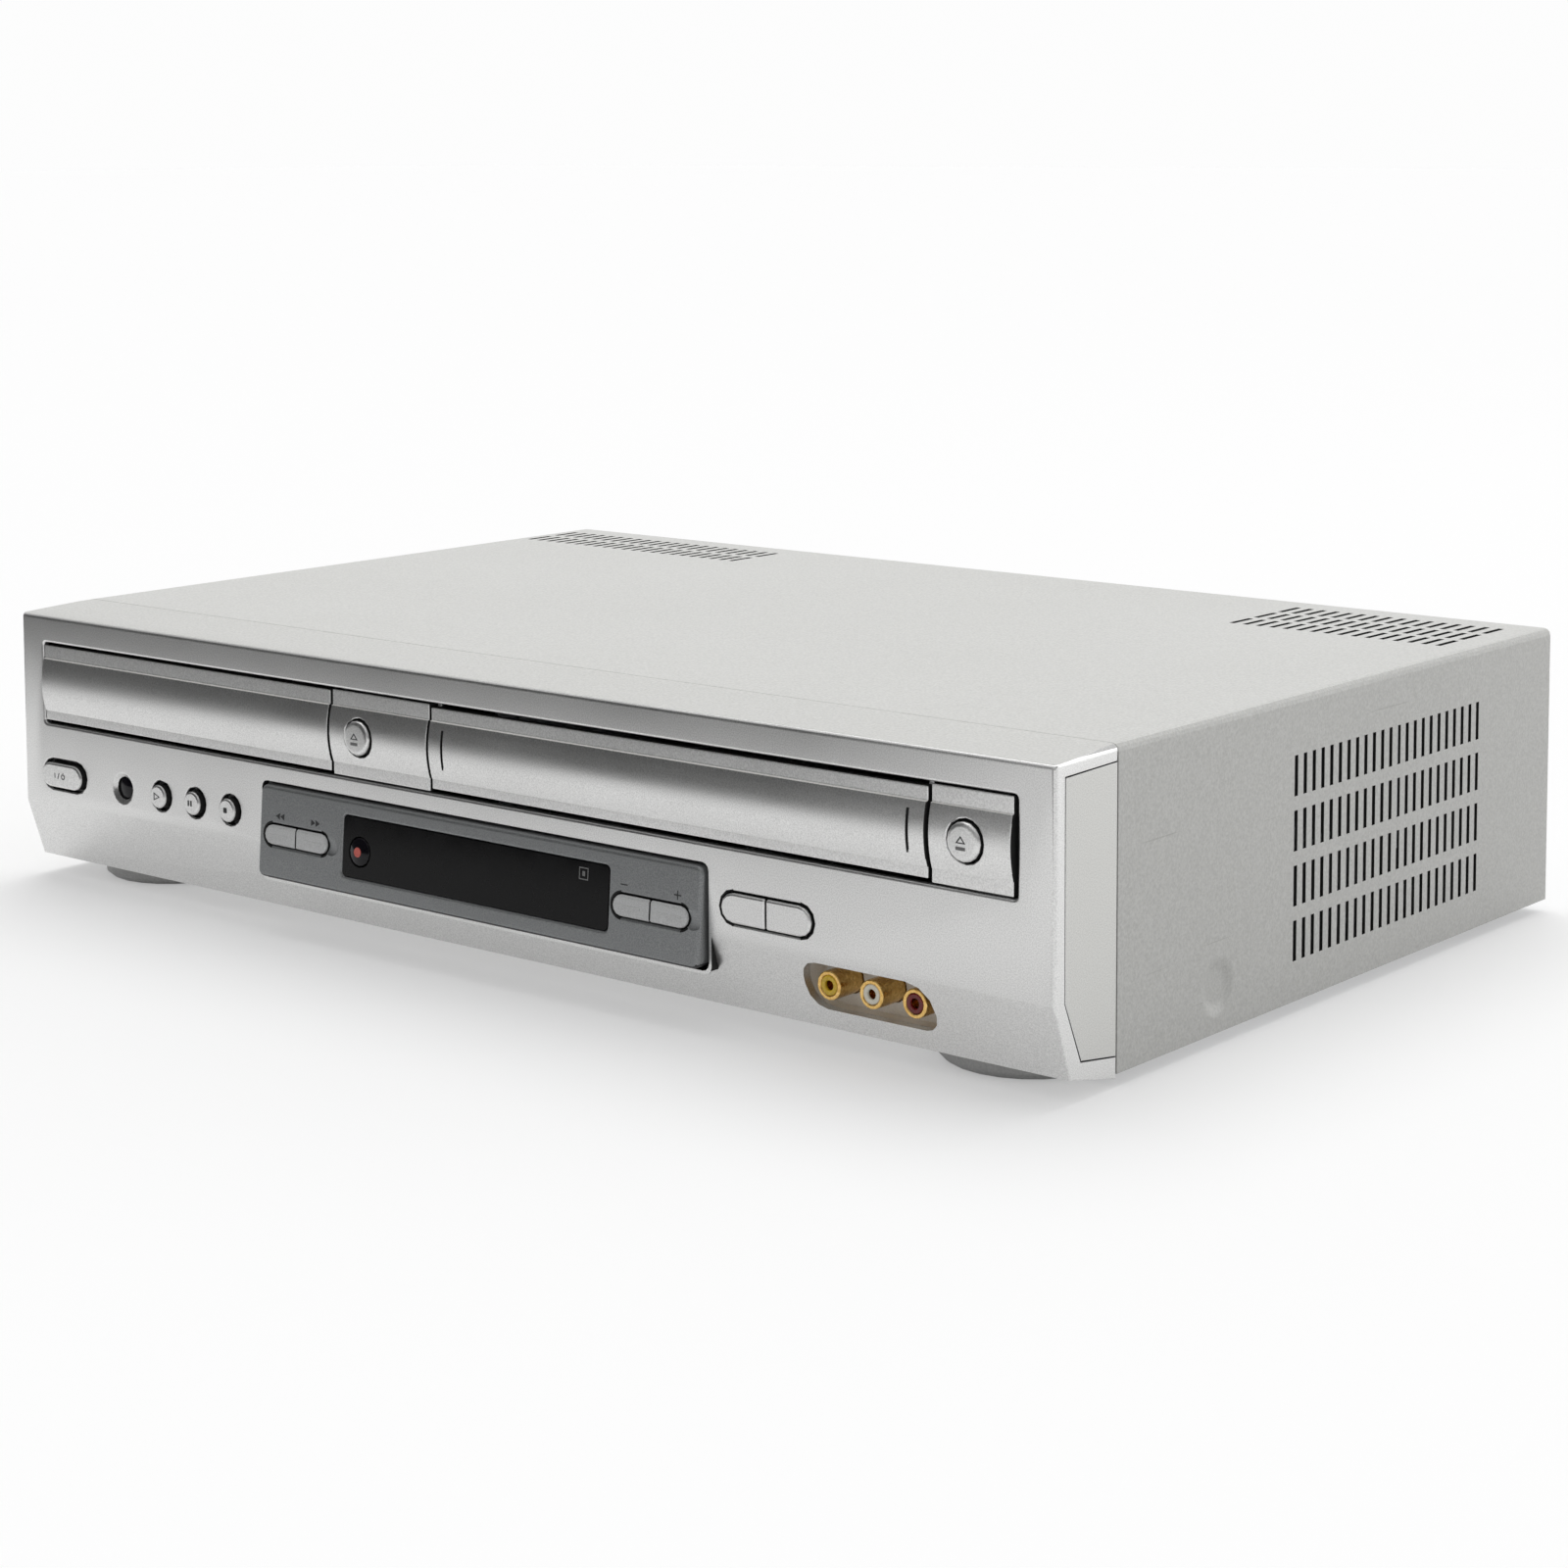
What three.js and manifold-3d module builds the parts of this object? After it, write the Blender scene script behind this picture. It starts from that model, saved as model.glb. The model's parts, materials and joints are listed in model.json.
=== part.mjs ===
// A disc and tape player in one case: a silver front bezel on a folded steel cover,
// a disc loader behind the left door and a video cassette deck behind the right one.
// Lengths are millimetres, +X is the viewer's right, +Y runs to the back, +Z is up.

import * as THREE from 'three';
import { mergeVertices } from 'three/addons/utils/BufferGeometryUtils.js';
import Module from 'manifold-3d';

const wasm = await Module();
wasm.setup();

// Driving dimensions. Heights are measured from the bezel's lowest edge, and depths
// run back from the flat of the front face.

const body = { width: 430, height: 90.8, depth: 280.3, cornerRound: 2.2 };
const footDrop = 2;
const seatGap = 0.3;
const overrun = 1;

const bezel = {
  wall: 2.4, sideDepth: 28.8, topDrop: 1.5, edgeRound: 1.4,
  bevelStart: 25.7, bevelSetback: 7, bevelFoot: 4.6,
};
const band = { leftMargin: 11.5, rightMargin: 12, topMargin: 10.7, height: 27.8, cornerRound: 1.2, gap: 0.6 };
const trimGap = { rim: 0.5, tray: 1.1, door: 0.9, tape: 1.2, end: 1.3 };
const trayDoorGap = { top: 0.9, bottom: 1.3 };
const cassetteDoorGap = { top: 1.4, bottom: 1.4 };
const facia = {
  ledgeSetback: 0.2, upperLedge: 5.3, lowerLedge: 4.5, step: 0.4, bulge: 1.6, thickness: 3, arcSegments: 8,
};
const trayDoorWidth = 143;
const cassetteDoorWidth = 188.6;
const discTrimShare = 0.61;

const panel = {
  left: 123.5, width: 186.9, bottom: 16.4, height: 29.4, proud: 3.6, lean: 2.1, chamfer: 0.8,
  cornerRound: 2.4,
  gap: 1, podRim: 0.9,
};
const windowPane = { left: 39, width: 112.6, bottom: 5.4, height: 19.2, cornerRound: 1.4 };
const buttonTravel = 1.2;
const sheet = 0.8;
const panSheet = 1;

const tapeDrop = 29;
const disc = { radius: 60, clearance: 0.5 };
const tray = { width: 128, length: 168, thickness: 5.5, aboveBand: 5.7, cornerRound: 6 };

// How many sides a round piece has, from a thin peg to a wide wheel.

const sides = { peg: 8, pin: 12, key: 16, wheel: 18, drum: 24, well: 32 };

// Places that follow from those sizes.

const half = body.width / 2;
const bandTop = body.height - band.topMargin;
const bandBottom = bandTop - band.height;
const bandLeft = -half + band.leftMargin;
const bandRight = half - band.rightMargin;
const bandGaps = 5;
const trimTotal = bandRight - bandLeft - trayDoorWidth - cassetteDoorWidth - bandGaps * band.gap;
const trayDoorLeft = bandLeft + band.gap;
const discTrimLeft = trayDoorLeft + trayDoorWidth + band.gap;
const cassetteDoorLeft = discTrimLeft + trimTotal * discTrimShare + band.gap;
const tapeTrimRight = bandRight - band.gap;
const trayX = trayDoorLeft + trayDoorWidth / 2;
const cassetteX = cassetteDoorLeft + cassetteDoorWidth / 2;
const panelLeft = -half + panel.left;
const panelRight = panelLeft + panel.width;
const panelTop = panel.bottom + panel.height;

// Finishes.

function finish(color, roughness, metalness) {
  return new THREE.MeshStandardMaterial({ color, roughness, metalness, flatShading: true });
}
const silverPaint = finish(0xc4c5c4, 0.38, 0.55);
const coverPaint = finish(0xd2d3ce, 0.45, 0.2);
const greyPlastic = finish(0x7d7f80, 0.45, 0.2);
const darkWindow = finish(0x0b0b0c, 0.08, 0);
const blackPlastic = finish(0x1b1b1c, 0.6, 0);
const gloss = finish(0x101012, 0.12, 0);
const brightMetal = finish(0xc9cacc, 0.25, 0.95);
const gold = finish(0xcfae63, 0.25, 0.9);
const plate = finish(0xb3b6b8, 0.4, 0.8);
const board = finish(0x2f5b3c, 0.6, 0);
const whitePlastic = finish(0xd9d8d2, 0.5, 0);
const rubber = finish(0x232323, 0.85, 0);
const footPlastic = finish(0x9b9b9a, 0.6, 0);

// Solids. A geometry becomes a solid that can be joined and cut, and goes back again.

function solid(geometry) {
  geometry.deleteAttribute('normal');
  geometry.deleteAttribute('uv');
  const merged = mergeVertices(geometry);
  const vertProperties = new Float32Array(merged.attributes.position.array);
  const triVerts = new Uint32Array(merged.index.array);
  return new wasm.Manifold(new wasm.Mesh({ numProp: 3, vertProperties, triVerts }));
}

function geometryOf(shape) {
  const mesh = shape.getMesh();
  const geometry = new THREE.BufferGeometry();
  geometry.setAttribute('position', new THREE.BufferAttribute(new Float32Array(mesh.vertProperties), 3));
  geometry.setIndex(new THREE.BufferAttribute(new Uint32Array(mesh.triVerts), 1));
  geometry.computeVertexNormals();
  return geometry;
}

const join = (first, ...others) => others.reduce((whole, piece) => whole.add(piece), first);
const cut = (first, ...others) => others.reduce((whole, piece) => whole.subtract(piece), first);

function box([x0, x1], [y0, y1], [z0, z1]) {
  const geometry = new THREE.BoxGeometry(x1 - x0, y1 - y0, z1 - z0);
  geometry.translate((x0 + x1) / 2, (y0 + y1) / 2, (z0 + z1) / 2);
  return solid(geometry);
}

const span = (a, b) => [Math.min(a, b), Math.max(a, b)];
const about = (middle, width) => [middle - width / 2, middle + width / 2];

// A drawn outline, pushed along one axis. Along X the outline is (y, z), along Y it is
// (x, z) and along Z it is (x, y).

function extrusion(points, length) {
  const shape = new THREE.Shape(points.map(([u, v]) => new THREE.Vector2(u, v)));
  return new THREE.ExtrudeGeometry(shape, { depth: length, bevelEnabled: false, steps: 1 });
}

function alongX(points, [x0, x1]) {
  const geometry = extrusion(points, x1 - x0);
  geometry.rotateZ(Math.PI / 2);
  geometry.rotateY(Math.PI / 2);
  geometry.translate(x0, 0, 0);
  return solid(geometry);
}

function alongY(points, [y0, y1]) {
  const geometry = extrusion(points, y1 - y0);
  geometry.rotateX(Math.PI / 2);
  geometry.translate(0, y1, 0);
  return solid(geometry);
}

function alongZ(points, [z0, z1]) {
  const geometry = extrusion(points, z1 - z0);
  geometry.translate(0, 0, z0);
  return solid(geometry);
}

// The same push along Y with its front edge chamfered.

function keycap(points, [y0, y1], chamfer) {
  const shape = new THREE.Shape(points.map(([u, v]) => new THREE.Vector2(u, v)));
  const geometry = new THREE.ExtrudeGeometry(shape, {
    depth: y1 - y0 - chamfer, steps: 1, bevelEnabled: true, bevelSegments: 1,
    bevelThickness: chamfer, bevelSize: chamfer, bevelOffset: -chamfer,
  });
  geometry.rotateX(Math.PI / 2);
  geometry.translate(0, y1, 0);
  return cut(solid(geometry), box([-half, half], [y1, y1 + chamfer + overrun], [-half, half]));
}

function arc(u, v, radius, fromDeg, toDeg, count) {
  const points = [];
  for (let i = 0; i <= count; i++) {
    const angle = THREE.MathUtils.degToRad(fromDeg + ((toDeg - fromDeg) * i) / count);
    points.push([u + radius * Math.cos(angle), v + radius * Math.sin(angle)]);
  }
  return points;
}

function circle(u, v, radius, count) {
  return arc(u, v, radius, 0, 360 - 360 / count, count - 1);
}

// A rectangle with a radius for each corner, from the lower left one round.

function rounded(u0, u1, v0, v1, radii, count = 3) {
  const [a, b, c, d] = Array.isArray(radii) ? radii : [radii, radii, radii, radii];
  return [
    ...arc(u0 + a, v0 + a, a, 180, 270, count), ...arc(u1 - b, v0 + b, b, 270, 360, count),
    ...arc(u1 - c, v1 - c, c, 0, 90, count), ...arc(u0 + d, v1 - d, d, 90, 180, count),
  ];
}

function pill(u0, u1, v0, v1, count = 6) {
  const r = (v1 - v0) / 2;
  const v = (v0 + v1) / 2;
  return [...arc(u0 + r, v, r, 90, 270, count), ...arc(u1 - r, v, r, -90, 90, count)];
}

// Turned solids from (radius, height) points that start and end on the axis, upright
// about Z or facing forward about Y.

function lathe(points, count) {
  return new THREE.LatheGeometry(points.map(([r, rise]) => new THREE.Vector2(r, rise)), count);
}
const turned = (points, count) => solid(lathe(points, count).rotateX(Math.PI / 2));
const turnedForward = (points, count) => solid(lathe(points, count).rotateX(Math.PI));

function pin([x, y], radius, [z0, z1], count = sides.pin) {
  return alongZ(circle(x, y, radius, count), [z0, z1]);
}

function pinX([y, z], radius, [x0, x1], count = sides.pin) {
  return alongX(circle(y, z, radius, count), [x0, x1]);
}

function pinY([x, z], radius, [y0, y1], count = sides.pin) {
  return alongY(circle(x, z, radius, count), [y0, y1]);
}

// The scene graph. "unit" stands at the middle of the front face's lowest edge, so a
// depth is its Y and a height is its Z.

const player = new THREE.Group();
const unit = new THREE.Group();
player.add(unit);

function place(name, shape, material, [x, y, z] = [0, 0, 0], parent = unit) {
  const mesh = new THREE.Mesh(geometryOf(shape), material);
  mesh.name = name;
  mesh.position.set(x, y, z);
  parent.add(mesh);
  return mesh;
}

// Front bezel: an open-backed shell whose side profile has a flat face and falls back
// under it in a long bevel. A pod keeps the face upright under the display panel.

const lowerCut = 1.4;
const panFloorTop = lowerCut + panSheet;
const coverUnder = body.height - sheet - seatGap;
const bezelTop = body.height - bezel.topDrop;
const podBottom = panel.bottom - panel.gap - panel.podRim;
const sharpCorner = 0.1;

const rowHeight = 34.8;
const powerKey = { x: 21.6, width: 23.4, height: 10.5, rise: 0.4, gap: 1.1, proud: 1.7 };
const lens = { x: 52.6, mouth: 5.3, radius: 3.9, recess: 1, dome: 0.5 };
const roundKey = { xs: [72.3, 89.4, 106.7], hole: 5.1, cap: 3.9, proud: 1.8 };
const selectKey = { left: 114.2, width: 33.8, bottom: 30.5, height: 9.6, gap: 0.45, proud: 0.8 };
const ejectKey = {
  hole: 6.05, cap: 5.5, proud: 2.8, slope: 1.4, slopeDepth: 0.6, belowMiddle: 0.4, discShare: 0.3078, tapeShare: 0.5492,
};
const panelKey = {
  inset: 2.85, rightInset: 3.9, width: 29.9, height: 7.1, middle: 14, gap: 0.4, proud: 0.6, margin: 0.9,
};
const recordKey = { inset: 7.7, middle: 8.5, hole: 4.8, gap: 0.4, proud: 0.6 };
const keySplit = 0.6;
const keyChamfer = 0.5;
const keyFlange = { thickness: 1, margin: 1.5 };
const stemRadius = 1.3;

const jacks = {
  right: 40.8, width: 45, bottom: 10.4, height: 13.9, radii: [6.5, 4.5, 8.5, 5],
  wall: 1, depth: 12.4, leftRoom: 8.9, rightRoom: 6.5, rise: 7.7, shell: 4.15, bore: 1.7, ring: 2.9,
  ringDepth: 1.2, face: 2.2, boreDepth: 8, nut: 5.2, tail: 4,
};

const boards = { setback: 12, thickness: 1.6, switchDepth: 3.4, switchSize: 6 };
const post = { radius: 2.6, low: 12, high: 42, inset: 40, middle: 116.5, right: 10, rise: 2.6, side: 20 };
const tongue = { width: 14, thickness: 2, reach: 6, count: 3 };
const pivot = {
  setback: 4.4, aboveBand: 3.9, radius: 1.2, clearance: 0.25, arm: 1.8, armReach: 8, lug: 2.4, lugRise: 2.3,
};

// A line scored round each cheek of the bezel, from its back edge round the face.

const cheek = {
  rearTop: 86.1, top: 85.5, front: 4.5, frontLow: 4.7, bevelStart: 25.6, footSetback: 12.2, foot: 8.6,
  rearFoot: 6.1,
  width: 0.35, depth: 0.5,
};

const powerX = -half + powerKey.x;
const lensX = -half + lens.x;
const roundKeyXs = roundKey.xs.map((x) => -half + x);
const selectLeft = half - selectKey.left;
const selectTop = selectKey.bottom + selectKey.height;
const recessRight = half - jacks.right;
const recessLeft = recessRight - jacks.width;
const jackPitch = (jacks.width - jacks.leftRoom - jacks.rightRoom) / 2;
const powerHeight = rowHeight + powerKey.rise;
const jackHeight = jacks.bottom + jacks.rise;
const pivotHeight = bandTop + pivot.aboveBand;
const ejectHeight = (bandTop + bandBottom) / 2 - ejectKey.belowMiddle;
const discEjectX = discTrimLeft + ejectKey.discShare * trimTotal * discTrimShare;
const tapeEjectX = tapeTrimRight - ejectKey.tapeShare * trimTotal * (1 - discTrimShare);
const panelKeyHeight = panel.bottom + panelKey.middle;
const seekLeft = panelLeft + panelKey.inset;
const channelLeft = panelRight - panelKey.rightInset - panelKey.width;
const windowLeft = panelLeft + windowPane.left;
const windowBottom = panel.bottom + windowPane.bottom;
const recordX = windowLeft + recordKey.inset;
const recordHeight = windowBottom + recordKey.middle;
const frontWall = [-panel.proud - overrun, bezel.bevelSetback + bezel.wall];
const bezelBack = bezel.sideDepth;

const bezelProfile = [
  [bezel.bevelSetback, bezel.bevelFoot],
  [bezelBack, 0],
  [bezelBack, body.height],
  ...arc(bezel.edgeRound, bezelTop - bezel.edgeRound, bezel.edgeRound, 90, 180, 3),
  [0, bezel.bevelStart],
];
const bezelInside = [
  [bezel.bevelSetback + bezel.wall, bezel.bevelFoot + bezel.wall],
  [bezelBack + overrun, bezel.wall],
  [bezelBack + overrun, body.height - bezel.wall],
  [bezel.wall, bezelTop - bezel.wall],
  [bezel.wall, bezel.bevelStart],
];

const tongueSteps = [...Array(tongue.count).keys()];
const tongueXs = tongueSteps.map((i) => -half + (body.width * (i + 1 / 2)) / tongue.count);

// Tongues reach back under the cover and over the pan's floor.

function tongues() {
  const row = [];
  const lower = panFloorTop + seatGap;
  for (const x of tongueXs) {
    const width = about(x, tongue.width);
    const reach = [bezelBack - bezel.wall, bezelBack + tongue.reach];
    row.push(box(width, reach, [coverUnder - tongue.thickness, coverUnder]));
    row.push(box(width, reach, [lower, lower + tongue.thickness]));
    row.push(box(width, [bezelBack - bezel.wall, bezelBack], [bezel.wall / 2, lower + tongue.thickness]));
  }
  return row;
}

// The jack recess, grown all round by a wall.

function jackRecess(grow) {
  return rounded(recessLeft - grow, recessRight + grow, jacks.bottom - grow,
    jacks.bottom + jacks.height + grow,
    jacks.radii.map((r) => r + grow));
}

function cheekOutline(grow) {
  return [
    [bezelBack + overrun, cheek.rearTop + grow], [cheek.front - grow, cheek.top + grow],
    [cheek.frontLow - grow, cheek.bevelStart], [cheek.footSetback - grow, cheek.foot - grow],
    [bezelBack + overrun, cheek.rearFoot - grow],
  ];
}

function cheekLines() {
  return [-1, 1].map((side) => {
    const skin = span(side * (half - cheek.depth), side * (half + overrun));
    const inner = alongX(cheekOutline(-cheek.width / 2), [-half - overrun, half + overrun]);
    return cut(alongX(cheekOutline(cheek.width / 2), skin), inner);
  });
}

function doorLug(x0, x1) {
  const ear = box([x0, x1], [bezel.wall / 2, pivot.setback + pivot.lug],
    about(pivotHeight, 2 * pivot.lugRise));
  const bore = pinX([pivot.setback, pivotHeight], pivot.radius + pivot.clearance,
    [x0 - overrun, x1 + overrun]);
  return cut(ear, bore);
}

const boardPosts = [
  [-half + post.inset, post.low], [-half + post.middle, post.high],
  [panelRight + post.right, post.high + post.rise],
  [half - post.side, rowHeight],
];

function makeBezel() {
  const lensHole = turnedForward([
    [0, -frontWall[1]], [lens.radius, -frontWall[1]], [lens.radius, -lens.recess], [lens.mouth, 0],
    [lens.mouth, overrun], [0, overrun],
  ], sides.key).translate([lensX, 0, rowHeight]);
  const outline = rounded(-half, half, -overrun, body.height,
    [sharpCorner, sharpCorner, body.cornerRound, body.cornerRound]);
  const plan = rounded(-half, half, 0, bezelBack + overrun,
    [bezel.edgeRound, bezel.edgeRound, sharpCorner, sharpCorner]);
  const podOutline = rounded(
    panelLeft - panel.gap - panel.podRim, panelRight + panel.gap + panel.podRim, podBottom,
    bezel.bevelStart + overrun,
    [panel.cornerRound, panel.cornerRound, sharpCorner, sharpCorner]);
  let shell = alongX(bezelProfile, [-half, half]);
  shell = shell.intersect(alongY(outline, [-overrun, bezelBack + overrun]));
  shell = shell.intersect(alongZ(plan, [-overrun, body.height + overrun]));
  const whole = shell;
  shell = join(shell, alongY(podOutline, [0, bezel.bevelSetback]));
  shell = cut(shell, alongX(bezelInside, [-half + bezel.wall, half - bezel.wall]));
  shell = join(shell, ...tongues());
  for (const [x, height] of boardPosts) {
    const peg = pinY([x, height], post.radius, [bezel.wall / 2, boards.setback - seatGap], sides.peg);
    shell = join(shell, peg.intersect(whole));
  }
  const doorRight = cassetteDoorLeft + cassetteDoorWidth;
  shell = join(shell,
    doorLug(cassetteDoorLeft - seatGap - pivot.lug, cassetteDoorLeft - seatGap),
    doorLug(doorRight + seatGap, doorRight + seatGap + pivot.lug));
  const openings = [
    alongY(rounded(bandLeft, bandRight, bandBottom, bandTop, band.cornerRound), frontWall),
    alongY(pill(...about(powerX, powerKey.width), ...about(powerHeight, powerKey.height)), frontWall),
    lensHole,
    ...roundKeyXs.map((x) => pinY([x, rowHeight], roundKey.hole, frontWall, sides.key)),
    alongY(pill(selectLeft, selectLeft + selectKey.width, selectKey.bottom, selectTop), frontWall),
    alongY(jackRecess(0), frontWall),
    alongY(rounded(panelLeft - panel.gap, panelRight + panel.gap, panel.bottom - panel.gap,
      panelTop + panel.gap,
      panel.cornerRound), frontWall),
    ...cheekLines(),
  ];
  return cut(shell, ...openings);
}
place('front_bezel', makeBezel(), silverPaint);

// The band of doors and trims shares one face profile: a flat ledge above and below a
// shallow bulge.

function faciaProfile(bottom, top, back) {
  const arcTop = bandTop - facia.upperLedge;
  const arcBottom = bandBottom + facia.lowerLedge;
  const points = [[back, bottom], [back, top], [facia.ledgeSetback, top], [facia.ledgeSetback, arcTop]];
  for (let i = 0; i <= facia.arcSegments; i++) {
    const t = i / facia.arcSegments;
    const swell = (facia.bulge - facia.step / 2) * 4 * t * (1 - t);
    points.push([-facia.step * (1 - t) - swell, arcTop + (arcBottom - arcTop) * t]);
  }
  points.push([facia.ledgeSetback, arcBottom], [facia.ledgeSetback, bottom]);
  return points;
}

const trimFlange = { thickness: 1.3, rise: 1.6, inset: 3 };

function makeTrim(x0, x1, holeX) {
  const back = bezel.wall + seatGap + trimFlange.thickness;
  const face = alongX(faciaProfile(bandBottom + trimGap.rim, bandTop - trimGap.rim, back), [x0, x1]);
  const flange = box([x0 + trimFlange.inset, x1 - trimFlange.inset], [bezel.wall + seatGap, back],
    [bandBottom - trimFlange.rise, bandTop + trimFlange.rise]);
  const hole = pinY([holeX, ejectHeight], ejectKey.hole, [-overrun - facia.bulge, back + overrun], sides.key);
  return cut(join(face, flange), hole);
}
const trayDoorRight = trayDoorLeft + trayDoorWidth;
const cassetteDoorRight = cassetteDoorLeft + cassetteDoorWidth;
place('disc_eject_trim', makeTrim(trayDoorRight + trimGap.tray, cassetteDoorLeft - trimGap.door, discEjectX),
  silverPaint);
place('tape_eject_trim', makeTrim(cassetteDoorRight + trimGap.tape, bandRight - trimGap.end, tapeEjectX),
  silverPaint);

// Cassette door: hangs from two arms on pins above the band and swings inwards.

const doorMark = { inset: 5.9, width: 0.4, depth: 0.5, top: 2.4, bottom: 1.2 };

function makeCassetteDoor() {
  const x0 = cassetteDoorLeft;
  const x1 = cassetteDoorRight;
  const top = bandTop - cassetteDoorGap.top;
  let door = alongX(faciaProfile(bandBottom + cassetteDoorGap.bottom, top, facia.thickness), [x0, x1]);
  for (const [side, outward] of [[x0, -1], [x1, 1]]) {
    const arm = span(side, side - outward * pivot.arm);
    const pegEnds = span(side - outward * pivot.arm / 2, side + outward * (seatGap + pivot.lug));
    const armBack = pivot.setback + pivot.radius + seatGap;
    const armFront = 2 * pivot.setback - armBack;
    door = join(door,
      box(arm, [facia.thickness / 2, armBack], [bandTop - pivot.armReach, top - seatGap]),
      box(arm, [armFront, armBack], [top - seatGap - overrun, pivotHeight]),
      pinX([pivot.setback, pivotHeight], armBack - pivot.setback, arm),
      pinX([pivot.setback, pivotHeight], pivot.radius, pegEnds));
  }
  for (const x of [x0 + doorMark.inset, x1 - doorMark.inset]) {
    const depth = [-facia.bulge - overrun, -facia.step - doorMark.depth];
    door = cut(door, box(about(x, doorMark.width), depth,
      [bandBottom + facia.lowerLedge + doorMark.bottom, bandTop - facia.upperLedge - doorMark.top]));
  }
  return door;
}
place('cassette_door', makeCassetteDoor(), silverPaint);

// Display panel: a moulded frame that stands proud of the face, with a shoulder behind
// the bezel's wall, and a clear dark window set into it from behind.

const panelShoulder = 2.2;
const panelBack = bezel.wall + seatGap + trimFlange.thickness;

// The panel's face leans back. A solid drawn with its face at Y 0 is moved out to that
// face, whose height is told for the solid's own zero, and is trimmed at a depth.

const faceLow = panel.bottom + panel.chamfer;
const leanSlope = panel.lean / (panel.height - 2 * panel.chamfer);
const faceDepth = (height) => -panel.proud + leanSlope * (height - faceLow);

function leaned(shape, height, back) {
  const tilted = shape.warp((point) => {
    point[1] += faceDepth(height + point[2]);
  });
  return tilted.trimByPlane([0, -1, 0], -back);
}

function makePanel() {
  const outline = rounded(panelLeft, panelRight, panel.bottom, panelTop, panel.cornerRound);
  const thick = panel.proud + panelBack + panel.lean;
  let frame = leaned(keycap(outline, [0, thick], panel.chamfer), 0, panelBack);
  frame = join(frame, box([panelLeft - panelShoulder, panelRight + panelShoulder],
    [bezel.wall + seatGap, panelBack],
    [bezel.bevelStart + bezel.wall, panelTop + trimFlange.rise]));
  const through = [-panel.proud - overrun, panelBack + overrun];
  const keys = [seekLeft, channelLeft].map((x) => alongY(
    pill(x, x + panelKey.width, ...about(panelKeyHeight, panelKey.height)), through));
  const pane = alongY(rounded(windowLeft, windowLeft + windowPane.width, windowBottom,
    windowBottom + windowPane.height, windowPane.cornerRound), through);
  return cut(frame, pane, ...keys);
}
place('display_panel', makePanel(), greyPlastic);

const domeShares = [[0.85, 0.33], [0.5, 0.85]];

const paneSet = { gap: 0.15, setback: 0.2, wall: 0.9, flange: 0.6, thickness: 1.2 };

function makeWindow() {
  const x1 = windowLeft + windowPane.width;
  const top = windowBottom + windowPane.height;
  const thick = panel.proud + panelBack + panel.lean;
  const rimFront = panelBack + seatGap;
  const rimBack = rimFront + paneSet.thickness;
  const outline = rounded(windowLeft + paneSet.gap, x1 - paneSet.gap, windowBottom + paneSet.gap,
    top - paneSet.gap, windowPane.cornerRound);
  const face = leaned(alongY(outline, [paneSet.setback, thick]), 0, rimBack);
  const hollow = leaned(box([windowLeft + paneSet.wall, x1 - paneSet.wall],
    [paneSet.setback + paneSet.thickness, thick], [windowBottom + paneSet.wall, top - paneSet.wall]),
  0, rimBack + overrun);
  const rim = box([windowLeft - paneSet.flange, x1 + paneSet.flange], [rimFront, rimBack],
    [windowBottom - paneSet.flange, top + paneSet.flange]);
  const hole = pinY([recordX, recordHeight], recordKey.hole, [-thick, rimBack + overrun], sides.key);
  return cut(join(face, rim), hollow, hole);
}
place('display_window', makeWindow(), darkWindow);

// Indicator lens: a low black dome at the foot of a sloped mouth, held by a shoulder
// behind the wall.

function makeLens() {
  const r = lens.radius - seatGap;
  const back = bezel.wall + seatGap + keyFlange.thickness;
  const profile = [
    [0, -back], [r + keyFlange.margin, -back], [r + keyFlange.margin, -bezel.wall - seatGap],
    [r, -bezel.wall - seatGap], [r, -lens.recess - lens.dome],
    ...domeShares.map(([across, up]) => [r * across, lens.dome * up - lens.recess - lens.dome]),
    [0, -lens.recess],
  ];
  return turnedForward(profile, sides.key);
}
place('indicator_lens', makeLens(), gloss, [lensX, 0, rowHeight]);

// Keys. Each has a cap in its hole, a flange behind the wall that keeps it in, and a
// stem that ends just short of its switch when the key is pressed home.

const switchFront = boards.setback - boards.switchDepth;
const stemEnd = switchFront - buttonTravel - seatGap;
const flangeFront = bezel.wall + seatGap;
const keyXs = {};

function roundCap(cap, hole, proud, wallBack, slope = keyChamfer, slopeDepth = keyChamfer) {
  const back = -wallBack - seatGap - keyFlange.thickness;
  const profile = [
    [0, back], [hole + keyFlange.margin, back], [hole + keyFlange.margin, -wallBack - seatGap],
    [cap, -wallBack - seatGap], [cap, proud - slopeDepth], [cap - slope, proud], [0, proud],
  ];
  return turnedForward(profile, sides.key);
}

const stem = (from, to) => pinY([0, 0], stemRadius, [from, to], sides.peg);

for (const [i, name] of ['play_button', 'pause_button', 'stop_button'].entries()) {
  const key = join(roundCap(roundKey.cap, roundKey.hole, roundKey.proud, bezel.wall),
    stem(flangeFront, stemEnd));
  place(name, key, silverPaint, [roundKeyXs[i], 0, rowHeight]);
  keyXs[name] = [roundKeyXs[i], rowHeight];
}

// A pill-shaped cap is upright, or leans with the panel when its height is given.

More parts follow.
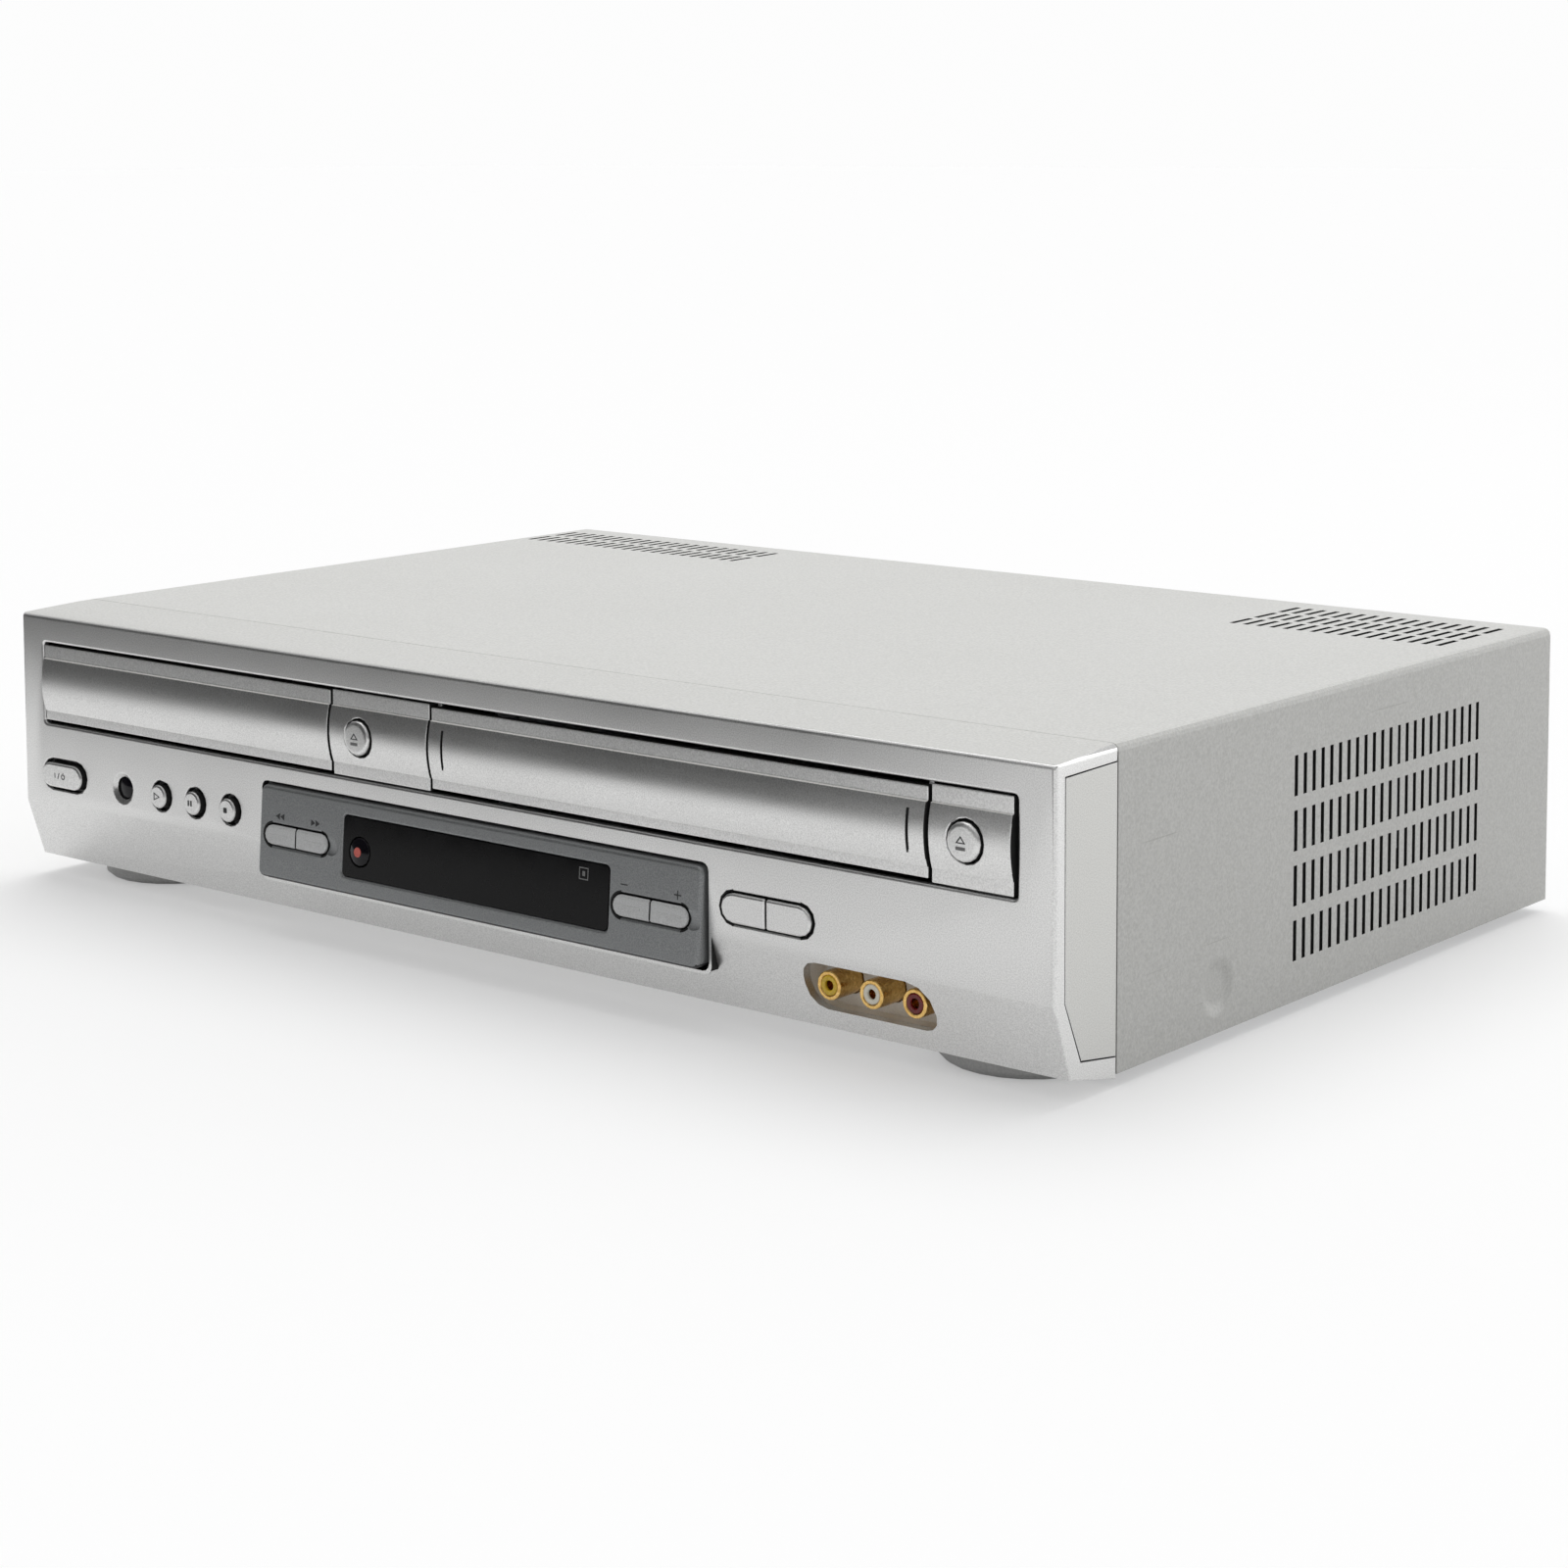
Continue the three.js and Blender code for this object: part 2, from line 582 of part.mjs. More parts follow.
function pillCap({ width, height, gap, proud, margin = keyFlange.margin }, flangeAt, leanHeight = null) {
  const [wide, high] = [width - 2 * gap, height - 2 * gap];
  const outline = pill(...about(0, wide), ...about(0, high));
  const capBack = flangeAt + keyFlange.thickness / 2;
  const cap = leanHeight === null ? keycap(outline, [-proud, capBack], keyChamfer)
    : leaned(keycap(outline, [-proud, panel.proud + panel.lean + capBack], keyChamfer), leanHeight, capBack);
  const flange = box(about(0, wide + 2 * margin), [flangeAt, flangeAt + keyFlange.thickness],
    about(0, high + 2 * margin));
  return join(cap, flange);
}
place('power_button', join(pillCap(powerKey, flangeFront), stem(flangeFront, stemEnd)), silverPaint,
  [powerX, 0, powerHeight]);
keyXs.power_button = [powerX, powerHeight];

// A pair of keys that share one pill-shaped hole, split down the middle.

function keyPair(names, whole, width, [left, middle], flangeAt, material) {
  const x = left + width / 2;
  for (const [name, side] of [[names[0], -1], [names[1], 1]]) {
    const keep = box(span((side * keySplit) / 2, side * width), [-half, half], [-half, half]);
    const stalk = pinY([(side * width) / 4, 0], stemRadius, [flangeAt, stemEnd], sides.peg);
    place(name, join(whole.intersect(keep), stalk), material, [x, 0, middle]);
    keyXs[name] = [x + (side * width) / 4, middle];
  }
}
keyPair(['select_disc_button', 'select_tape_button'], pillCap(selectKey, flangeFront), selectKey.width,
  [selectLeft, (selectKey.bottom + selectTop) / 2], flangeFront, silverPaint);
for (const [names, left] of [
  [['rewind_button', 'forward_button'], seekLeft], [['channel_down_button', 'channel_up_button'],
  channelLeft],
]) {
  const flangeAt = panelBack + seatGap;
  keyPair(names, pillCap(panelKey, flangeAt, panelKeyHeight), panelKey.width, [left, panelKeyHeight],
    flangeAt,
    greyPlastic);
}

// The record key stands in the window and has a domed top.

function makeRecordKey() {
  const r = recordKey.hole - recordKey.gap;
  const flangeAt = panelBack + seatGap + paneSet.thickness + seatGap;
  const flangeBack = flangeAt + keyFlange.thickness;
  const long = panel.proud + panel.lean + flangeBack;
  const rim = -paneSet.setback;
  const domed = turnedForward([
    [0, -long], [r, -long], [r, rim],
    ...domeShares.map(([across, up]) => [r * across, rim + (recordKey.proud - rim) * up]),
    [0, recordKey.proud],
  ], sides.key);
  const cap = leaned(domed, recordHeight, flangeAt + keyFlange.thickness / 2);
  const flange = pinY([0, 0], r + keyFlange.margin, [flangeAt, flangeBack], sides.key);
  return join(cap, flange, stem(flangeAt, stemEnd));
}
place('record_button', makeRecordKey(), gloss, [recordX, 0, recordHeight]);
keyXs.record_button = [recordX, recordHeight];

const trimBack = bezel.wall + seatGap + trimFlange.thickness;
for (const [name, x] of [['disc_eject_button', discEjectX], ['tape_eject_button', tapeEjectX]]) {
  const cap = roundCap(ejectKey.cap, ejectKey.hole, ejectKey.proud, trimBack, ejectKey.slope,
    ejectKey.slopeDepth);
  place(name, join(cap, stem(trimBack, stemEnd)), silverPaint, [x, 0, ejectHeight]);
  keyXs[name] = [x, ejectHeight];
}

// Jack recess: a cup behind the bevel's wall, with three phono jacks that face forward.

const jackXs = [0, 1, 2].map((i) => recessLeft + jacks.leftRoom + i * jackPitch);
const cupLip = 1.6;

function makeJackCup() {
  const cupBack = jacks.depth + jacks.wall;
  const outside = alongY(jackRecess(jacks.wall), [0, cupBack]);
  const lip = box([recessLeft - cupLip, recessRight + cupLip],
    [bezel.bevelSetback + bezel.wall + seatGap, cupBack],
    [jacks.bottom - cupLip, jacks.bottom + jacks.height + cupLip]);
  const inFront = alongX([
    [-overrun, body.height], [-overrun, 0], [bezel.bevelSetback + bezel.wall + seatGap, 0],
    [bezel.bevelSetback + bezel.wall + seatGap, bezel.bevelFoot + bezel.wall],
    [bezel.wall + seatGap, bezel.bevelStart], [bezel.wall + seatGap, body.height],
  ], [recessLeft - jackPitch, recessRight + jackPitch]);
  const hollow = alongY(jackRecess(0), [-overrun, jacks.depth]);
  const holes = jackXs.map((x) => pinY([x, jackHeight], jacks.shell + seatGap,
    [jacks.depth - overrun, cupBack + overrun], sides.key));
  return cut(join(outside, lip), inFront, hollow, ...holes);
}
place('jack_cup', makeJackCup(), silverPaint);

function makeJack() {
  const face = -jacks.face;
  const back = -jacks.depth - jacks.wall - seatGap;
  const profile = [
    [0, back - jacks.tail], [jacks.nut, back - jacks.tail], [jacks.nut, back], [jacks.shell, back],
    [jacks.shell, face], [jacks.ring, face], [jacks.ring, face - jacks.ringDepth],
    [jacks.bore, face - jacks.ringDepth], [jacks.bore, face - jacks.boreDepth], [0, face - jacks.boreDepth],
  ];
  return turnedForward(profile, sides.key);
}
for (const [i, name] of ['video_jack', 'left_audio_jack', 'right_audio_jack'].entries()) {
  place(name, makeJack(), gold, [jackXs[i], 0, jackHeight]);
}

// Front board: one board behind the face, with tabs up to the two eject keys, a notch
// round the jacks, a push switch for every key and the display tube behind the window.

const boardOutline = { side: 5, bottom: 8, top: 48, tab: 12, tabTop: 7, jackGap: 3, jackTop: 28.5 };
const displayTube = { insetX: 16, bottom: 2, depth: 4, insetRight: 4 };

function makeFrontBoard() {
  const b = boardOutline;
  const left = -half + bezel.wall + b.side;
  const right = half - bezel.wall - b.side;
  const tabTop = ejectHeight + b.tabTop;
  const outline = [
    [left, b.bottom], [recessLeft - b.jackGap, b.bottom], [recessLeft - b.jackGap, b.jackTop],
    [right, b.jackTop], [right, tabTop], [tapeEjectX - b.tab, tabTop], [tapeEjectX - b.tab, b.top],
    [discEjectX + b.tab, b.top], [discEjectX + b.tab, tabTop], [discEjectX - b.tab, tabTop],
    [discEjectX - b.tab, b.top], [left, b.top],
  ];
  let whole = alongY(outline, [boards.setback, boards.setback + boards.thickness]);
  const reach = boards.setback + boards.thickness / 2;
  for (const [x, height] of Object.values(keyXs)) {
    const size = boards.switchSize;
    whole = join(whole, box(about(x, size), [switchFront, reach], about(height, size)));
  }
  const tubeLeft = recordX + displayTube.insetX;
  const tubeRight = windowLeft + windowPane.width - displayTube.insetRight;
  const tubeBottom = windowBottom + displayTube.bottom;
  const tubeTop = windowBottom + windowPane.height - displayTube.bottom;
  return join(whole, box([tubeLeft, tubeRight], [boards.setback - displayTube.depth, reach],
    [tubeBottom, tubeTop]));
}
place('front_board', makeFrontBoard(), board);

// Top cover: one steel sheet folded over the top and both sides, with a lip turned down
// behind the rear panel, slots for air on the top and the right side, and a pressed
// dimple low on each side.

const coverFront = bezelBack + seatGap;
const rearLip = 10;
const sideVent = { front: 120.7, pitch: 5, count: 23, rows: 4, bottom: 13.4, length: 11.9, rowPitch: 16.1,
  width: 1.9 };
const topVent = {
  pitch: 5.02, rightCount: 16, leftCount: 22, rightRows: 3, leftRows: 2, length: 12.3, rowPitch: 15.4,
  width: 2, back: 10.6, side: 12, leftSide: 7,
};
const dimple = { front: 79.2, height: 14.5, radius: 8.2, flat: 5, depth: 1.2 };
const screw = { side: 30, below: 5.2, head: 3.4, headHeight: 2.2, shank: 1.5, length: 5, clearance: 0.3 };

function coverSection() {
  const r = body.cornerRound;
  const inset = r - sheet;
  const outer = rounded(-half, half, lowerCut, body.height, [sharpCorner, sharpCorner, r, r]);
  const inner = rounded(-half + sheet, half - sheet, lowerCut - overrun, body.height - sheet,
    [sharpCorner, sharpCorner, inset, inset]);
  return cut(alongY(outer, [coverFront, body.depth]),
    alongY(inner, [coverFront - overrun, body.depth - sheet]));
}

function slots(count, pitch, rows, rowPitch, makeSlot) {
  const all = [];
  for (let row = 0; row < rows; row++) {
    for (let i = 0; i < count; i++) {
      all.push(makeSlot(i * pitch, row * rowPitch));
    }
  }
  return all;
}

function sideSlots() {
  const wall = [half - sheet - overrun, half + overrun];
  const v = sideVent;
  return slots(v.count, v.pitch, v.rows, v.rowPitch, (along, rise) => box(wall,
    about(v.front + along, v.width), [v.bottom + rise, v.bottom + rise + v.length]));
}

function topSlots(start, count, rows) {
  const v = topVent;
  const wall = [body.height - sheet - overrun, body.height + overrun];
  const rear = body.depth - v.back - v.length;
  return slots(count, v.pitch, rows, v.rowPitch, (across, ahead) => box(
    about(start + across, v.width), [rear - ahead, rear - ahead + v.length], wall));
}

function screwHoles(depths) {
  return [-1, 1].map((side) => pinY([side * (half - screw.side), body.height - screw.below],
    screw.shank + screw.clearance, depths));
}

// A dish is a flat with a sloped side round it, drawn upwards and laid along X.

function dish(side, grow, [deep, shallow]) {
  const [flat, mouth] = [dimple.flat + grow, dimple.radius + grow];
  const profile = [[0, deep], [flat, deep], [mouth, shallow], [mouth, shallow + overrun],
    [0, shallow + overrun]];
  return solid(lathe(profile, sides.wheel).rotateZ((-side * Math.PI) / 2)).translate([0, dimple.front,
    dimple.height]);
}

function makeCover() {
  let cover = coverSection();
  const underLip = [lowerCut - overrun, body.height - sheet - rearLip];
  cover = cut(cover, box([-half + sheet, half - sheet],
    [body.depth - sheet - overrun, body.depth + overrun], underLip));
  const skin = box([-half + sheet / 2, half - sheet / 2], [0, body.depth], [0, body.height]);
  for (const side of [-1, 1]) {
    const boss = dish(side, sheet, [half - dimple.depth - sheet, half - sheet]).intersect(skin);
    cover = cut(join(cover, boss), dish(side, 0, [half - dimple.depth, half]));
  }
  const rightStart = half - topVent.side - (topVent.rightCount - 1) * topVent.pitch;
  const holes = [
    ...sideSlots(), ...topSlots(rightStart, topVent.rightCount, topVent.rightRows),
    ...topSlots(-half + topVent.leftSide, topVent.leftCount, topVent.leftRows),
    ...screwHoles([body.depth - sheet - overrun, body.depth + overrun]),
  ];
  return cut(cover, wasm.Manifold.union(holes));
}
place('top_cover', makeCover(), coverPaint);

// Rear panel: a steel sheet inside the cover's lip, with a fold that lies over the pan,
// and three socket blocks that come through it.

const rearPanelBack = body.depth - sheet - seatGap;
const rearPanelFront = rearPanelBack - panSheet;
const rearFold = 9;
const rearGap = 0.4;
const inside = half - sheet - seatGap;
const boardHeight = 8;
const boardTop = boardHeight + boards.thickness;

const blockLift = 2;
const avBlock = { fromRight: 223, width: 46, height: 34, depth: 16, proud: 1.2 };
const componentBlock = { fromRight: 155, width: 48, height: 34, depth: 16, proud: 1.2 };
const aerialBlock = { fromRight: 65, width: 22, height: 44, depth: 40, proud: 0.8 };
const blockX = (block) => half - block.fromRight;
const phono = { radius: 4.15, length: 7.5, bore: 1.7, boreDepth: 6, pitchX: 14, pitchZ: 14.5, columns: 3,
  rows: 2 };
const aerial = { radius: 4.7, length: 8.2, pitch: 20, bore: 1 };
const gland = { fromLeft: 50, height: 22, radius: 5.5, flange: 8, thickness: 2.2, bore: 3.2, tail: 9 };
const glandX = -half + gland.fromLeft;
const rearReach = rearPanelBack + aerialBlock.proud + aerial.length - body.depth;

function blockOutline(block, gap) {
  const base = boardTop + blockLift;
  return [about(blockX(block), block.width + 2 * gap), [base - gap, base + block.height + gap]];
}

function makeRearPanel() {
  const through = [rearPanelFront - overrun, rearPanelBack + overrun];
  const foldTop = panFloorTop + seatGap;
  const inner = body.cornerRound - sheet;
  const upright = alongY(rounded(-inside, inside, foldTop, coverUnder,
    [sharpCorner, sharpCorner, inner, inner]),
    [rearPanelFront, rearPanelBack]);
  const fold = box([-inside + rearFold, inside - rearFold], [rearPanelFront - rearFold, rearPanelBack],
    [foldTop, foldTop + panSheet]);
  const windows = [avBlock, componentBlock, aerialBlock].map((block) => {
    const [width, height] = blockOutline(block, rearGap);
    return box(width, through, height);
  });
  return cut(join(upright, fold), ...windows, pinY([glandX, gland.height], gland.radius + seatGap, through),
    ...screwHoles(through));
}
place('rear_panel', makeRearPanel(), plate);

// A socket block stands on the main board by a narrower leg.

function blockBody(block) {
  const face = rearPanelBack + block.proud;
  const [width, height] = blockOutline(block, 0);
  const leg = box(about(blockX(block), block.width / 2), [face - block.depth, face - block.depth / 2],
    [boardTop + seatGap, height[0] + overrun]);
  return join(box(width, [face - block.depth, face], height), leg);
}

function socket(shape, [x, z], face, size, boreDepth) {
  const end = face + size.length;
  const shell = pinY([x, z], size.radius, [face - overrun, end]);
  return cut(join(shape, shell), pinY([x, z], size.bore, [end - boreDepth, end + overrun], sides.peg));
}

function makePhonoBlock(block) {
  const face = rearPanelBack + block.proud;
  const middle = boardTop + blockLift + block.height / 2;
  let shape = blockBody(block);
  for (let i = 0; i < phono.columns; i++) {
    for (let j = 0; j < phono.rows; j++) {
      const x = blockX(block) + (i - (phono.columns - 1) / 2) * phono.pitchX;
      const z = middle + (j - (phono.rows - 1) / 2) * phono.pitchZ;
      shape = socket(shape, [x, z], face, phono, phono.boreDepth);
    }
  }
  return shape;
}
place('rear_av_block', makePhonoBlock(avBlock), blackPlastic);
place('rear_component_block', makePhonoBlock(componentBlock), blackPlastic);

function makeAerialBlock() {
  const face = rearPanelBack + aerialBlock.proud;
  const middle = boardTop + blockLift + aerialBlock.height / 2;
  let can = blockBody(aerialBlock);
  for (const side of [-1, 1]) {
    can = socket(can, [blockX(aerialBlock), middle + (side * aerial.pitch) / 2], face, aerial, aerial.length / 2);
  }
  return can;
}
place('aerial_block', makeAerialBlock(), plate);

function makeGland() {
  const outer = seatGap + panSheet;
  const profile = [
    [gland.bore, -gland.tail], [gland.radius, -gland.tail], [gland.radius, outer], [gland.flange, outer],
    [gland.flange - keyChamfer, outer + gland.thickness], [gland.bore, outer + gland.thickness],
    [gland.bore, -gland.tail],
  ];
  return solid(lathe(profile, sides.key));
}
place('cord_gland', makeGland(), rubber, [glandX, rearPanelFront, gland.height]);

function makeScrew() {
  const head = seatGap + screw.headHeight;
  const profile = [
    [0, -screw.length], [screw.shank, -screw.length], [screw.shank, seatGap], [screw.head, seatGap],
    [screw.head, seatGap + screw.headHeight / 2], [screw.head / 2, head], [0, head],
  ];
  return solid(lathe(profile, sides.pin));
}
for (const [name, side] of [['left_cover_screw', -1], ['right_cover_screw', 1]]) {
  place(name, makeScrew(), plate, [side * (half - screw.side), body.depth, body.height - screw.below]);
}

// Base pan: a steel tray with turned-up edges, pillars for the boards and air slots.

const panEdge = 9;
const panBack = rearPanelFront - seatGap;
const pillar = { radius: 3, inset: 8 };
const mainRoom = { left: 29, width: 112, front: 32, step: 196, rearFront: 234, right: 19, joinLeft: 103 };
const mainBoard = {
  left: -half + mainRoom.left,
  right: -half + mainRoom.left + mainRoom.width,
  front: mainRoom.front,
  step: mainRoom.step,
  rearFront: mainRoom.rearFront,
  rearRight: half - mainRoom.right,
  joinLeft: -half + mainRoom.joinLeft,
};
const powerRoom = { left: 9, width: 88, front: 200, back: 268 };
const powerBoard = {
  left: -half + powerRoom.left,
  right: -half + powerRoom.left + powerRoom.width,
  front: powerRoom.front,
  back: powerRoom.back,
};
const mainBack = panBack - rearFold - pillar.radius;
const rearPillarXs = [20, 120];
const panVent = { count: 8, width: 3, length: 30, pitch: 8, x: 20, front: 60 };

function pillars() {
  const [m, p, inset] = [mainBoard, powerBoard, pillar.inset];
  const rear = m.rearFront + inset;
  return [
    [m.left + inset, m.front + inset], [m.right - inset, m.front + inset], [m.left + inset, m.step - inset],
    [m.right - inset, m.step - inset], [m.joinLeft + inset, rear], [m.rearRight - inset, rear],
    ...rearPillarXs.map((x) => [x, rear]),
    [p.left + inset, p.front + inset], [p.right - inset, p.front + inset],
    [p.left + inset, p.back - inset], [p.right - inset, p.back - inset],
  ];
}

function makePan() {
  const top = lowerCut + panEdge;
  const inner = inside - panSheet;
  const along = [coverFront, panBack];
  const fold = alongY([
    [-inside, lowerCut], [inside, lowerCut], [inside, top], [inner, top], [inner, panFloorTop],
    [-inner, panFloorTop], [-inner, top], [-inside, top],
  ], along);
  const front = box([-inner - panSheet / 2, inner + panSheet / 2], [coverFront, coverFront + panSheet],
    [panFloorTop - panSheet / 2, top - panSheet]);
  let pan = join(fold, front);
  for (const at of pillars()) {
    pan = join(pan, pin(at, pillar.radius, [panFloorTop - panSheet / 2, boardHeight - seatGap], sides.peg));
  }
  const above = lowerCut + panEdge + overrun;
  const notches = tongueXs.map((x) => box(about(x, tongue.width + 2 * rearGap),
    [coverFront - overrun, coverFront + panSheet + overrun], [panFloorTop, above]));
  const dimpleRoom = dimple.radius + sheet + seatGap;
  for (const side of [-1, 1]) {
    const edge = span(side * (inside + overrun), side * (inside - panSheet - overrun));
    notches.push(box(edge, about(dimple.front, 2 * dimpleRoom), [dimple.height - dimpleRoom, above]));
  }
  for (let i = 0; i < panVent.count; i++) {
    const x = panVent.x + i * panVent.pitch;
    notches.push(box([x, x + panVent.width], [panVent.front, panVent.front + panVent.length],
      [lowerCut - overrun, panFloorTop + overrun]));
  }
  return cut(pan, ...notches);
}
place('base_pan', makePan(), plate);

// Feet: four wide shallow dishes whose tops follow the underside of the bezel and pan.

const foot = { radius: 25.5, bottomRadius: 23.5, side: 35, front: 38.5, rear: 240, skirt: 1.6 };

function makeFoot(front) {
  const top = lowerCut - seatGap;
  const tall = bezel.bevelFoot;
  const profile = [
    [0, -footDrop], [foot.bottomRadius, -footDrop], [foot.radius, -footDrop + foot.skirt],
    [foot.radius, tall],
    [0, tall],
  ];
  const above = alongX([
    [-body.depth, tall - seatGap], [bezel.bevelSetback, tall - seatGap - seatGap / 2],
    [bezelBack + seatGap, -seatGap], [bezelBack + seatGap, top], [body.depth + bezelBack, top],
    [body.depth + bezelBack, tall + overrun], [-body.depth, tall + overrun],
  ].map(([y, z]) => [y - front, z]), [-half, half]);
  return cut(turned(profile, sides.drum), above);
}
for (const [name, side, y] of [
  ['front_left_foot', -1, foot.front], ['front_right_foot', 1, foot.front],
  ['rear_left_foot', -1, foot.rear], ['rear_right_foot', 1, foot.rear],
]) {
  place(name, makeFoot(y), footPlastic, [side * (half - foot.side), y, 0]);
}

// Boards on the pan, each with its larger components standing on it.

const boardSunk = boards.thickness / 2;
const chip = { rise: 2.4, filterSize: 10, filterRise: 9 };
const chipShares = [[0.23, 0.24, 0.2], [0.6, 0.4, 0.25], [0.32, 0.61, 0.16]];
const filterShares = [0.77, 0.72];
const transformer = { inset: 10, width: 34, depth: 32, rise: 30 };
const heatSink = { fromRight: 14, thickness: 2, length: 48, inset: 10, rise: 28, fin: 9, finCount: 4 };
const canShares = [[0.32, 0.81, 0.3], [0.64, 0.74, 0.2], [0.68, 0.32, 0.17]];

function makeMainBoard() {
  const m = mainBoard;
  let whole = alongZ([
    [m.left, m.front], [m.right, m.front], [m.right, m.rearFront], [m.rearRight, m.rearFront],
    [m.rearRight, mainBack], [m.joinLeft, mainBack], [m.joinLeft, m.step], [m.left, m.step],
  ], [boardHeight, boardTop]);
  const [width, depth] = [m.right - m.left, m.step - m.front];
  for (const [across, along, size] of chipShares) {
    whole = join(whole, box(about(m.left + across * width, size * width),
      about(m.front + along * depth, size * width), [boardTop - boardSunk, boardTop + chip.rise]));
  }
  const [across, along] = filterShares;
  return join(whole, box(about(m.left + across * width, chip.filterSize),
    about(m.front + along * depth, chip.filterSize), [boardTop - boardSunk, boardTop + chip.filterRise]));
}
place('main_board', makeMainBoard(), board);

function makePowerBoard() {
  const p = powerBoard;
  let whole = box([p.left, p.right], [p.front, p.back], [boardHeight, boardTop]);
  const t = transformer;
  whole = join(whole, box([p.left + t.inset, p.left + t.inset + t.width],
    [p.front + t.inset, p.front + t.inset + t.depth],
    [boardTop - boardSunk, boardTop + t.rise]));
  const h = heatSink;
  const sinkX = p.right - h.fromRight;
  const sinkRise = [boardTop - boardSunk, boardTop + h.rise];
  const sinkFront = p.front + h.inset;
  whole = join(whole, box([sinkX, sinkX + h.thickness], [sinkFront, sinkFront + h.length], sinkRise));
  for (let i = 0; i < h.finCount; i++) {
    const y = sinkFront + ((i + 1 / 2) * h.length) / h.finCount;
    whole = join(whole, box([sinkX, sinkX + h.fin], about(y, h.thickness), sinkRise));
  }
  for (const [across, along, size] of canShares) {
    const at = [p.left + across * (p.right - p.left), p.front + along * (p.back - p.front)];
    whole = join(whole, pin(at, size * t.rise, [boardTop - boardSunk, boardTop + t.rise * (1 - size)]));
  }
  return whole;
}
place('power_board', makePowerBoard(), board);

// Disc loader: a frame on four legs, the tray that slides in it, the wheel that drives
// the tray's rack, and the lifting traverse with its hub, sled and clamp.

const loader = new THREE.Group();
loader.position.set(trayX, 0, 0);
unit.add(loader);

const trayBottom = bandBottom + tray.aboveBand;
const trayTop = trayBottom + tray.thickness;
const trayFront = facia.thickness + seatGap;
const discCentre = 72;
const well = { depth: 2.5, innerRadius: 40.5, innerDepth: 1, aperture: 17, slotWidth: 28, slotLength: 58 };
const gear = { module: 1, teeth: 18, thin: 0.27, addendumShare: 0.9, rootShare: 1.25 };
const gearPlace = { y: 31, height: 2.9, below: 0.7 };
const rack = { front: 22, bar: 2.8, height: 3.5, inset: 6.4 };
const frame = { gap: 0.4, wall: 2.5, front: 15.5, back: 180, belowTray: 22, aboveTray: 12.5, rearWall: 24 };
const frameBase = { thickness: 2.5, openHalf: 54, openFront: 55, openBack: 148 };
const frameLedge = { reach: 2.2, thickness: 1.5 };
const frameLeg = { width: 10, inset: 5, front: 36 };
const bridge = { front: 58, back: 86, thickness: 2.5, hole: 9.5 };
const frameHalf = tray.width / 2 + frame.gap;
const frameOuter = frameHalf + frame.wall;
const frameFloor = trayBottom - frame.belowTray;
const frameTop = trayBottom + frame.aboveTray;
const floorTop = frameFloor + frameBase.thickness;
const pitchRadius = (gear.module * gear.teeth) / 2;
const rackPitchX = -tray.width / 2 + rack.inset;
const pinionX = rackPitchX + pitchRadius;
const gearBottom = trayBottom - rack.height;
const gearTop = gearBottom + gearPlace.height;

const traversePlate = { belowTray: 12, thickness: 2, front: 50, back: 154, half: 52, pinY: 150,
  pinRadius: 1.5 };
const plateBottom = trayBottom - traversePlate.belowTray;
const plateTop = plateBottom + traversePlate.thickness;
const plateMiddle = (plateBottom + plateTop) / 2;
const spindle = { motor: 12, motorDrop: 6, table: 13, tableBelow: 2.6, cone: 7.3, neck: 6, step: 1.9, coneRise: 2 };
const rods = { x: 20, radius: 1.4, front: 84, back: 143, block: 2.5, rise: 2.4, cap: 1.7, width: 6 };
const sled = { front: 88, back: 104, half: 25, height: 4.1, lens: 4, lensRise: 3.5 };
const clamp = { radius: 18, neck: 9, flange: 12, aboveTray: 6.6, plate: 1.6, flangeHeight: 1.5 };
const clampRecess = { depth: 1.3, radius: 8.2 };
const loaderMotor = { x: -20, radius: 9, rise: 11.5, pulley: 4 };
const motorTop = floorTop + loaderMotor.rise;
const wheelPost = 1.5;
const pinionWheel = { radius: 14.6, hub: 6, face: 2.4, bottom: floorTop + seatGap };

